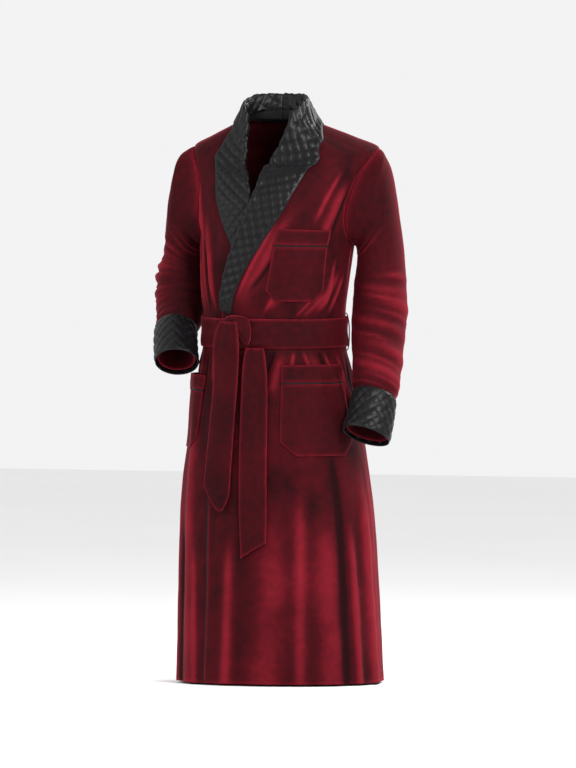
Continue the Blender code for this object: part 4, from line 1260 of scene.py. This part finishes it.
@dataclass(frozen=True)
class BandFolds:
    """Fullness and soft troughs of the belt's band; rises in metres, places in degrees."""

    full: float = 0.0018
    rounding: float = 0.6
    sway: float = 0.10
    sway_from: float = 30.0
    gathered_at: float = -15.0
    gathered_reach: float = 34.0
    gathered: tuple[float, float] = (0.0024, 2.2)
    overall: tuple[float, float] = (0.0009, 1.4)

    def point(self, share: float, height: float) -> Vector:
        """Outer point of the band by share round the waist and height."""
        angle = -180.0 + 360.0 * (share % 1.0)
        drop = (BELT_TOP - height) / (BELT_TOP - BELT_LOW)
        slant = drop + self.sway * math.sin(math.radians(angle * 2.0 + self.sway_from))
        near = math.exp(-(((angle - self.gathered_at) / self.gathered_reach) ** 2))
        trough = self.gathered[0] * near * math.cos(2.0 * math.pi * self.gathered[1] * slant)
        trough += self.overall[0] * math.cos(2.0 * math.pi * self.overall[1] * slant)
        full = self.full * math.sin(math.pi * drop) ** self.rounding
        return body_point(angle, height, belt_lift(angle, height) + BELT_WALL + full + trough)


@dataclass(frozen=True)
class KnotFolds:
    """The knot: a full turn of the belt with slanting creases and one tuck; rises in metres."""

    narrow: tuple[float, float] = (0.16, 0.20)
    dome: float = 0.46
    slant: float = 0.55
    ridge: tuple[float, float, float] = (0.0034, 4.0, 0.0)
    ripple: tuple[float, float, float] = (0.0016, 11.0, 0.6)
    tuck: float = -0.0075
    tuck_lean: float = 0.35
    tuck_at: float = 0.52
    tuck_reach: float = 0.06

    def point(self, share: float, row: float) -> Vector:
        """Outer point of the knot by share across and down."""
        left, right, top, low = KNOT
        side = 2.0 * share - 1.0
        level = 2.0 * row - 1.0
        height = (top + low) / 2.0 + (low - top) / 2.0 * level * (1.0 - self.narrow[0] * abs(side) ** 3)
        angle = (left + right) / 2.0 + (right - left) / 2.0 * side * (1.0 - self.narrow[1] * abs(level) ** 3)
        base = belt_lift(angle, min(max(height, BELT_LOW), BELT_TOP)) + BELT_WALL + KNOT_SEAT
        dome = max(math.sin(math.pi * share) * math.sin(math.pi * row), 0.0) ** self.dome
        rise = KNOT_RISE
        for size, waves, start in (self.ridge, self.ripple):
            rise += size * math.cos(waves * math.pi * (share - self.slant * row) + start)
        away = (share + self.tuck_lean * row - self.tuck_at) / self.tuck_reach
        rise += self.tuck * math.exp(-(away**2))
        return body_point(angle, height, base + BELT_WALL + rise * dome)


@dataclass(frozen=True)
class EndFolds:
    """Hanging end of the belt with its slanted tip; rises in metres, drops as shares of its length."""

    side: str
    pinch_drop: float = 0.22
    narrow: float = 0.30
    narrow_drop: float = 0.07
    crease: tuple[float, float, float] = (0.0026, 2.0, 0.15)
    sway: tuple[float, float, float] = (0.0012, 0.3, 1.6)
    crown: float = 0.0012

    def point(self, share: float, drop: float) -> Vector:
        """Outer point, drop running from the knot to the tip."""
        rows = BELT_END_RIGHT if self.side == "right" else BELT_END_LEFT
        tip = smooth_row(BELT_TIPS[self.side], share)[0]
        height = rows[0][0] + (tip - rows[0][0]) * drop
        left, right, stand = smooth_row([(-row[0], *row[1:]) for row in rows], -height)
        narrow = 1.0 - self.narrow * math.exp(-drop / self.narrow_drop)
        angle = (left + right) / 2.0 + (right - left) * (share - 0.5) * narrow
        rise, waves, lean = self.crease
        crease = rise * math.exp(-drop / self.pinch_drop)
        crease *= math.cos(2.0 * math.pi * (waves * share + lean * drop))
        rise, waves, lean = self.sway
        sway = rise * math.sin(2.0 * math.pi * (lean * drop + waves * share))
        crown = self.crown * math.sin(math.pi * share)
        lift = wrap_lift(angle, height) + VELVET + stand + BELT_WALL
        return body_point(angle, height, lift + crease + sway + crown)


def belt_loop(side: str) -> Surface:
    """Surface of the narrow loop that stands off the belt at the side seam."""
    sign = 1.0 if side == "left" else -1.0

    def surface(share: float, row: float) -> Vector:
        """Outer point of the loop."""
        height = BELT_TOP + LOOP_OVERLAP + (BELT_LOW - BELT_TOP - 2.0 * LOOP_OVERLAP) * row
        stand = LOOP_SEAT + LOOP_ARCH * math.sqrt(max(math.sin(math.pi * row), 0.0))
        angle = sign * (HIP_SEAM + LOOP_ANGLE * (share - 0.5))
        return body_point(angle, height, VELVET + stand + LOOP_WALL)

    return surface


def front_piping() -> list[Vector]:
    """Route of the cord along the left front's edge, from the belt to the hem."""
    route = []
    for height in spaced(BELT_LOW - PIPING_INSET[0], HEM + PIPING_INSET[1], PIPING_STEPS):
        angle = left_edge(height)
        lift = wrap_lift(angle, height) + PIPING_LEVEL * VELVET + fine_height(angle, height)
        point = body_point(angle, height, lift)
        ahead = body_point(angle + 1.0, height, lift)
        route.append(point + (point - ahead).normalized() * (PIPING_RADIUS + PIPING_STAND))
    return route


# Scale per metre, detail and roughness of a noise
Grain = tuple[float, float, float]


@dataclass(frozen=True)
class VelvetFinish:
    """Burgundy cotton velvet: dark pile with brushed patches, painted highlight on ridges and edges and
    painted shade in troughs.
    """

    # Darkest stop: darker pile and painted shade in troughs; middle stop: the plain pile; lightest stop:
    # brushed pile and painted highlight on ridges and edges
    deep_pile_and_shade: tuple[float, float, float] = (0.0115, 0.0005, 0.0013)
    base: tuple[float, float, float] = (0.052, 0.0015, 0.0041)
    brushed_and_highlight: tuple[float, float, float] = (0.225, 0.0095, 0.020)
    rim: tuple[float, float, float] = (1.0, 0.10, 0.16)
    base_at: float = 0.30
    patches: Grain = (5.5, 4.0, 0.62)
    nap: Grain = (62.0, 5.0, 0.68)
    fibres: Grain = (1450.0, 2.0, 0.55)
    painted_light_share: float = 0.56
    patch_share: tuple[float, float] = (0.46, -0.10)
    nap_share: tuple[float, float] = (0.34, -0.17)
    edge_highlight_share: float = 0.34
    nap_height: float = 0.5
    relief: tuple[float, float] = (0.30, 0.0006)
    roughness: float = 0.78
    roughness_range: float = 0.16
    sheen: float = 0.27
    sheen_roughness: float = 0.34
    specular: float = 0.07

    def material(self) -> bpy.types.Material:
        """Node material read from the pile's place on the object and the piece's attributes."""
        tree = Tree("velvet_pile")
        place = tree.place()
        patches = tree.noise(place, *self.patches)
        nap = tree.noise(place, *self.nap)
        # painted highlight on ridges and painted shade in troughs, from the piece's attribute
        painted_light = tree.attribute("painted_light")
        # painted highlight along the piece's edges
        edge = tree.attribute("edge")
        amount = tree.math("MULTIPLY", painted_light, self.painted_light_share)
        amount = tree.math("ADD", amount, tree.math("MULTIPLY_ADD", patches, *self.patch_share))
        amount = tree.math("ADD", amount, tree.math("MULTIPLY_ADD", nap, *self.nap_share))
        amount = tree.math("ADD", amount, tree.math("MULTIPLY", edge, self.edge_highlight_share))
        colour = tree.ramp(amount, ((0.0, self.deep_pile_and_shade), (self.base_at, self.base), (1.0, self.brushed_and_highlight)))
        fibres = tree.noise(place, *self.fibres)
        smoothest = self.roughness - self.roughness_range / 2.0
        rough = tree.math("MULTIPLY_ADD", nap, self.roughness_range, smoothest)
        tree.feed("Base Color", colour)
        tree.feed("Roughness", rough)
        height = tree.math("ADD", tree.math("MULTIPLY", nap, self.nap_height), fibres)
        tree.bump(height, *self.relief)
        tree.set("Sheen Weight", self.sheen)
        tree.set("Sheen Roughness", self.sheen_roughness)
        tree.set("Sheen Tint", (*self.rim, 1.0))
        tree.set("Specular IOR Level", self.specular)
        return tree.material


@dataclass(frozen=True)
class SatinFinish:
    """Black satin: fine ribs of the weave, softly polished on the quilted diamonds, with a painted highlight
    along its edges.
    """

    base: tuple[float, float, float] = (0.0020, 0.0018, 0.0023)
    # Lighter stop: cloudy polish, and the painted highlight along the edges
    paler: tuple[float, float, float] = (0.0060, 0.0054, 0.0066)
    clouds: Grain = (26.0, 4.0, 0.6)
    grain: Grain = (900.0, 2.0, 0.5)
    ribs: float = 760.0
    cloud_share: tuple[float, float] = (0.9, -0.25)
    edge_highlight_share: float = 0.5
    rib_height: float = 0.4
    relief: tuple[float, float] = (0.12, 0.0003)
    roughness: float = 0.38
    roughness_range: float = 0.20
    roughness_drop: float = 0.08
    sheen: float = 0.02
    sheen_roughness: float = 0.4
    specular: float = 0.15
    stretch: float = 0.35

    def material(self) -> bpy.types.Material:
        """Node material with the weave's ribs."""
        tree = Tree("satin_weave")
        place = tree.place()
        cloth = tree.uv("cloth")
        clouds = tree.noise(place, *self.clouds)
        ribs = tree.wave(cloth, self.ribs)
        # painted highlight along the piece's edges
        edge = tree.attribute("edge")
        amount = tree.math("MULTIPLY_ADD", clouds, *self.cloud_share)
        amount = tree.math("ADD", amount, tree.math("MULTIPLY", edge, self.edge_highlight_share))
        colour = tree.ramp(amount, ((0.0, self.base), (1.0, self.paler)))
        smoothest = self.roughness - self.roughness_drop
        rough = tree.math("MULTIPLY_ADD", clouds, self.roughness_range, smoothest)
        tree.feed("Base Color", colour)
        tree.feed("Roughness", rough)
        grain = tree.noise(place, *self.grain)
        height = tree.math("ADD", tree.math("MULTIPLY", ribs, self.rib_height), grain)
        tree.bump(height, *self.relief)
        tree.set("Sheen Weight", self.sheen)
        tree.set("Sheen Roughness", self.sheen_roughness)
        tree.set("Specular IOR Level", self.specular)
        tree.set("Anisotropic", self.stretch)
        return tree.material


@dataclass(frozen=True)
class PipingFinish:
    """Near-black twisted cord with a soft gloss."""

    base: tuple[float, float, float] = (0.0040, 0.0052, 0.0056)
    paler: tuple[float, float, float] = (0.0130, 0.0160, 0.0170)
    strands: float = 260.0
    dust: Grain = (210.0, 3.0, 0.6)
    roughness: tuple[float, float] = (0.2, 0.42)
    relief: tuple[float, float] = (0.5, 0.0004)
    specular: float = 0.10

    def material(self) -> bpy.types.Material:
        """Node material with slanting strands along the cord."""
        tree = Tree("piping_cord")
        cloth = tree.uv("cloth")
        place = tree.place()
        strands = tree.wave(cloth, self.strands, diagonal=True)
        dust = tree.noise(place, *self.dust)
        amount = tree.math("MULTIPLY", strands, dust)
        colour = tree.ramp(amount, ((0.0, self.base), (1.0, self.paler)))
        tree.feed("Base Color", colour)
        tree.feed("Roughness", tree.math("MULTIPLY_ADD", dust, *self.roughness))
        tree.bump(strands, *self.relief)
        tree.set("Specular IOR Level", self.specular)
        return tree.material


class Tree:
    """Node tree of one Principled material, with short ways to add nodes."""

    def __init__(self, name: str) -> None:
        """Make the material and keep its Principled shader."""
        self.material = bpy.data.materials.new(name)
        self.material.use_nodes = True
        self.nodes = self.material.node_tree.nodes
        self.shader = self.nodes["Principled BSDF"]

    def node(self, kind: str) -> bpy.types.Node:
        """New node of a kind."""
        return self.nodes.new(kind)

    def link(self, source: Socket, target: Socket) -> None:
        """Join an output to an input."""
        self.material.node_tree.links.new(source, target)

    def feed(self, socket: str, source: Socket) -> None:
        """Join an output to one of the shader's inputs."""
        self.link(source, self.shader.inputs[socket])

    def set(self, socket: str, value: float | Sequence[float]) -> None:
        """Value of one of the shader's unlinked inputs."""
        self.shader.inputs[socket].default_value = value

    def noise(self, place: Socket, scale: float, detail: float, roughness: float) -> Socket:
        """Output of a noise at a scale per metre."""
        node = self.node("ShaderNodeTexNoise")
        self.link(place, node.inputs["Vector"])
        node.inputs["Scale"].default_value = scale
        node.inputs["Detail"].default_value = detail
        node.inputs["Roughness"].default_value = roughness
        return node.outputs["Fac"]

    def wave(self, place: Socket, scale: float, diagonal: bool = False) -> Socket:
        """Output of fine parallel bands."""
        node = self.node("ShaderNodeTexWave")
        self.link(place, node.inputs["Vector"])
        node.bands_direction = "DIAGONAL" if diagonal else "Y"
        node.inputs["Scale"].default_value = scale
        return node.outputs["Fac"]

    def place(self) -> Socket:
        """Output of the point's place on its object."""
        return self.node("ShaderNodeTexCoord").outputs["Object"]

    def uv(self, name: str) -> Socket:
        """Output of a named map of the piece."""
        node = self.node("ShaderNodeUVMap")
        node.uv_map = name
        return node.outputs["UV"]

    def attribute(self, name: str) -> Socket:
        """Output of a named number of the piece's points."""
        node = self.node("ShaderNodeAttribute")
        node.attribute_name = name
        return node.outputs["Fac"]

    def math(self, operation: str, first: Socket, second: Socket | float, third: float = 0.0) -> Socket:
        """Output of a sum on one or two outputs and numbers."""
        node = self.node("ShaderNodeMath")
        node.operation = operation
        for index, value in enumerate((first, second, third)):
            if isinstance(value, (int, float)):
                node.inputs[index].default_value = value
            else:
                self.link(value, node.inputs[index])
        return node.outputs["Value"]

    def ramp(self, amount: Socket, stops: Sequence[tuple]) -> Socket:
        """Output of a colour ramp with stops of place and colour."""
        node = self.node("ShaderNodeValToRGB")
        ramp = node.color_ramp
        while len(ramp.elements) < len(stops):
            ramp.elements.new(0.5)
        for element, (place, colour) in zip(ramp.elements, stops):
            element.position = place
            element.color = (*colour, 1.0)
        self.link(amount, node.inputs["Fac"])
        return node.outputs["Color"]

    def bump(self, height: Socket, strength: float, distance: float) -> None:
        """Join a height to the shader's normal."""
        node = self.node("ShaderNodeBump")
        node.inputs["Strength"].default_value = strength
        node.inputs["Distance"].default_value = distance
        self.link(height, node.inputs["Height"])
        self.link(node.outputs["Normal"], self.shader.inputs["Normal"])


@dataclass
class Jacket:
    """The whole garment: its pieces and their finishes."""

    materials: dict[Cloth, bpy.types.Material] = field(default_factory=dict)
    pieces: dict[str, bpy.types.Object] = field(default_factory=dict)

    def dress(self) -> None:
        """Make the three finishes."""
        self.materials[Cloth.VELVET] = VelvetFinish().material()
        self.materials[Cloth.SATIN] = SatinFinish().material()
        self.materials[Cloth.PIPING] = PipingFinish().material()

    def declare(self, piece: bpy.types.Object, cloth: Cloth, node: str) -> None:
        """Finish a piece, hang it on the root body and hide the solid that it stands for.

        Args:
            piece: the object.
            cloth: its finish.
            node: the solid that it replaces.
        """
        piece.data.materials.append(self.materials[cloth])
        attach(piece, "root")
        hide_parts(node)
        self.pieces[node] = piece

    def add_sheet(self, sheet: Sheet) -> None:
        piece = sheet.build()
        self.declare(piece, sheet.cloth, sheet.node)

    def add_cord(self, name: str, node: str, route: Sequence[Vector]) -> None:
        """Build one piping cord."""
        self.declare(Cord(name, route, PIPING_RADIUS).build(), Cloth.PIPING, node)

    def make_panels(self) -> None:
        """Back and both fronts."""
        rows = fine_rows()
        panels = (
            ("front_left", left_edge, front_side_edge, wrap_lift, Vector((0.5, -1.0, 0.0))),
            ("front_right", right_front_side_edge, right_edge, no_lift, Vector((-0.5, -1.0, 0.0))),
            ("back", back_side_edge, right_back_side_edge, no_lift, Vector((0.0, 1.0, 0.0))),
        )
        for node, start, end, lift, outward in panels:
            sheet = Sheet(
                node, panel_surface(start, end, lift), PANEL_COLUMNS[node], rows, VELVET, Cloth.VELVET,
                outward=outward, painted_light=panel_painted_light(start, end),
            )
            self.add_sheet(sheet)

    def make_collar(self) -> None:
        """Both halves of the quilted shawl collar."""
        halves = (
            ("collar_left", CollarShape(LEFT_COLLAR, left_edge, wrap_lift, False), "front_left"),
            ("collar_right", CollarShape(RIGHT_COLLAR, right_edge, no_lift, True), "front_right"),
        )
        for node, shape, under in halves:
            sheet = Sheet(
                node, shape.surface, COLLAR_COLUMNS, spaced(0.0, 1.0, COLLAR_ROWS), SATIN, Cloth.SATIN,
                outward=Vector((0.0, -1.0, 0.1)), quilted=True, quilt_from=COLLAR_QUILT_FROM,
            )
            self.add_sheet(sheet)

    def make_sleeves(self) -> None:
        """Sleeves and their quilted cuffs."""
        for side in Side:
            name = side.value
            columns, count = SLEEVE_GRID
            rows = spaced(0.0, 1.0, SLEEVE_SEAM_ROWS)[:-1] + spaced(1.0, SLEEVE_END[name], count)
            sheet = Sheet(
                "sleeve_" + name, sleeve_surface(name), columns, rows, VELVET, Cloth.VELVET,
                outward=sleeve_outward(name, 4.0), closed=True, painted_light=sleeve_painted_light(name),
            )
            self.add_sheet(sheet)
            columns, count = CUFF_GRID
            rows = spaced(CUFF_START[name], CUFF_END[name], count)
            sheet = Sheet(
                "cuff_" + name, cuff_surface(name), columns, rows, SATIN, Cloth.SATIN,
                outward=sleeve_outward(name, CUFF_START[name] + 1.0), closed=True, quilted=True,
                diamonds_round=CUFF_DIAMONDS, rise=CUFF_QUILT_RISE,
            )
            self.add_sheet(sheet)

    def make_pockets(self) -> None:
        """Three patch pockets with bands and piping."""
        for which, row in POCKETS.items():
            shape = PocketShape(*row, which != "right", POCKET_LEAN[which])
            bag, band, piping = POCKET_NODES[which]
            outward = form_normal((shape.front + shape.back) / 2.0, shape.top)
            walls = ((bag, shape.bag, POCKET_ROWS, POCKET_SHELL), (band, shape.band, BAND_ROWS, BAND_SHELL))
            for node, surface, count, shell in walls:
                rows = spaced(0.0, 1.0, count)
                sheet = Sheet(node, surface, POCKET_COLUMNS, rows, shell, Cloth.VELVET, outward=outward)
                self.add_sheet(sheet)
            self.add_cord(piping + "_cord", piping, shape.piping())
        self.add_cord("front_piping_cord", "front_piping", front_piping())

    def make_belt(self) -> None:
        """Belt with its knot, hanging ends and loops."""
        forward = Vector((0.0, -1.0, 0.0))
        columns, count = BELT_GRID
        rows = spaced(BELT_LOW, BELT_TOP, count)
        sheet = Sheet(
            "belt_band", BandFolds().point, columns, rows, BELT_SHELL, Cloth.VELVET,
            outward=forward, closed=True,
        )
        self.add_sheet(sheet)
        columns, count = KNOT_GRID
        rows = spaced(0.0, 1.0, count)
        surface = KnotFolds().point
        sheet = Sheet("belt_knot", surface, columns, rows, KNOT_SHELL, Cloth.VELVET, outward=forward)
        self.add_sheet(sheet)
        for side in Side:
            name = side.value
            columns, count = END_GRID
            rows = spaced(0.0, 1.0, count)
            node = "belt_end_" + name
            surface = EndFolds(name).point
            sheet = Sheet(node, surface, columns, rows, BELT_SHELL, Cloth.VELVET, outward=forward)
            self.add_sheet(sheet)
            columns, count = LOOP_GRID
            rows = spaced(0.0, 1.0, count)
            node = "belt_loop_" + name
            sideways = Vector((1.0 if name == "left" else -1.0, 0.0, 0.0))
            surface = belt_loop(name)
            sheet = Sheet(node, surface, columns, rows, LOOP_SHELL, Cloth.VELVET, outward=sideways)
            self.add_sheet(sheet)

    def make(self) -> None:
        """Every piece of the garment."""
        self.dress()
        self.make_panels()
        self.make_collar()
        self.make_sleeves()
        self.make_pockets()
        self.make_belt()


def sleeve_outward(side: str, place: float) -> Vector:
    """Outward direction of a sleeve opposite its outer line, where its middle column lies."""
    return -sleeve_section(side, place)[1]


# Lamps: name, place, size in metres, watts
LAMPS = (
    ("key", (2.3, -2.4, 1.5), 1.3, 150.0),
    ("fill", (-2.6, -2.2, 0.6), 2.2, 46.0),
    ("rim", (1.8, 2.0, 1.3), 1.2, 70.0),
)


@dataclass(frozen=True)
class Studio:
    """Pale floor, soft lights and the photograph's view."""

    azimuth: float = 17.0
    elevation: float = 3.0
    metres_per_pixel: float = 0.00235
    picture_height: float = 768.0
    picture_middle: tuple[float, float] = (7.0, -259.0)
    distance: float = 5.0
    floor_height: float = -1.312
    floor_size: float = 9.0
    floor_dark: tuple[float, float, float] = (0.84, 0.835, 0.83)
    floor_pale: tuple[float, float, float] = (0.89, 0.885, 0.88)
    surround: tuple[float, float, float, float] = (0.93, 0.93, 0.94, 1.0)
    surround_strength: float = 0.96
    aim: tuple[float, float, float] = (0.0, 0.0, -0.45)

    def axes(self) -> tuple[Vector, Vector, Vector]:
        """Right, up and back directions of the camera."""
        turn = math.radians(self.azimuth)
        tilt = math.radians(self.elevation)
        back = Vector((math.sin(turn) * math.cos(tilt), -math.cos(turn) * math.cos(tilt), math.sin(tilt)))
        right = Vector((math.cos(turn), math.sin(turn), 0.0))
        return right, back.cross(right), back

    def camera(self) -> None:
        """Long lens from the photograph's side, framed like it."""
        right, up, back = self.axes()
        aside, above = self.picture_middle
        target = right * (aside * self.metres_per_pixel) + up * (above * self.metres_per_pixel)
        data = bpy.data.cameras.new("view")
        data.type = "ORTHO"
        data.ortho_scale = self.picture_height * self.metres_per_pixel
        camera = bpy.data.objects.new("view", data)
        turn = Matrix((right, up, back)).transposed().to_4x4()
        turn.translation = target + back * self.distance
        camera.matrix_world = turn
        bpy.context.scene.collection.objects.link(camera)
        bpy.context.scene.camera = camera

    def floor(self) -> None:
        """Pale matt floor just below the hem."""
        bm = bmesh.new()
        bmesh.ops.create_grid(bm, x_segments=8, y_segments=8, size=self.floor_size)
        for vert in bm.verts:
            vert.co.z = self.floor_height
        floor = add_object("floor", bm)
        tree = Tree("pale_floor")
        place = tree.place()
        clouds = tree.noise(place, 1.5, 3.0, 0.5)
        colour = tree.ramp(clouds, ((0.0, self.floor_dark), (1.0, self.floor_pale)))
        tree.feed("Base Color", colour)
        tree.set("Roughness", 0.85)
        floor.data.materials.append(tree.material)

    def light(self, name: str, place: Vector, size: float, watts: float) -> None:
        """Soft square light aimed at the garment."""
        data = bpy.data.lights.new(name, "AREA")
        data.size = size
        data.energy = watts
        lamp = bpy.data.objects.new(name, data)
        lamp.location = place
        lamp.rotation_euler = (Vector(self.aim) - place).to_track_quat("-Z", "Y").to_euler()
        bpy.context.scene.collection.objects.link(lamp)

    def make(self) -> None:
        """Camera, floor, lights and a pale surround."""
        self.camera()
        self.floor()
        for name, place, size, watts in LAMPS:
            self.light(name, Vector(place), size, watts)
        world = bpy.data.worlds.new("surround")
        world.use_nodes = True
        surround = world.node_tree.nodes["Background"]
        surround.inputs["Color"].default_value = self.surround
        surround.inputs["Strength"].default_value = self.surround_strength
        bpy.context.scene.world = world
        bpy.context.scene.view_settings.view_transform = "Standard"


def main() -> None:
    """Dress the frame and set the view."""
    LOG.info("frame: %d nodes", len(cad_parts))
    Jacket().make()
    Studio().make()


if __name__ == "__main__":
    main()
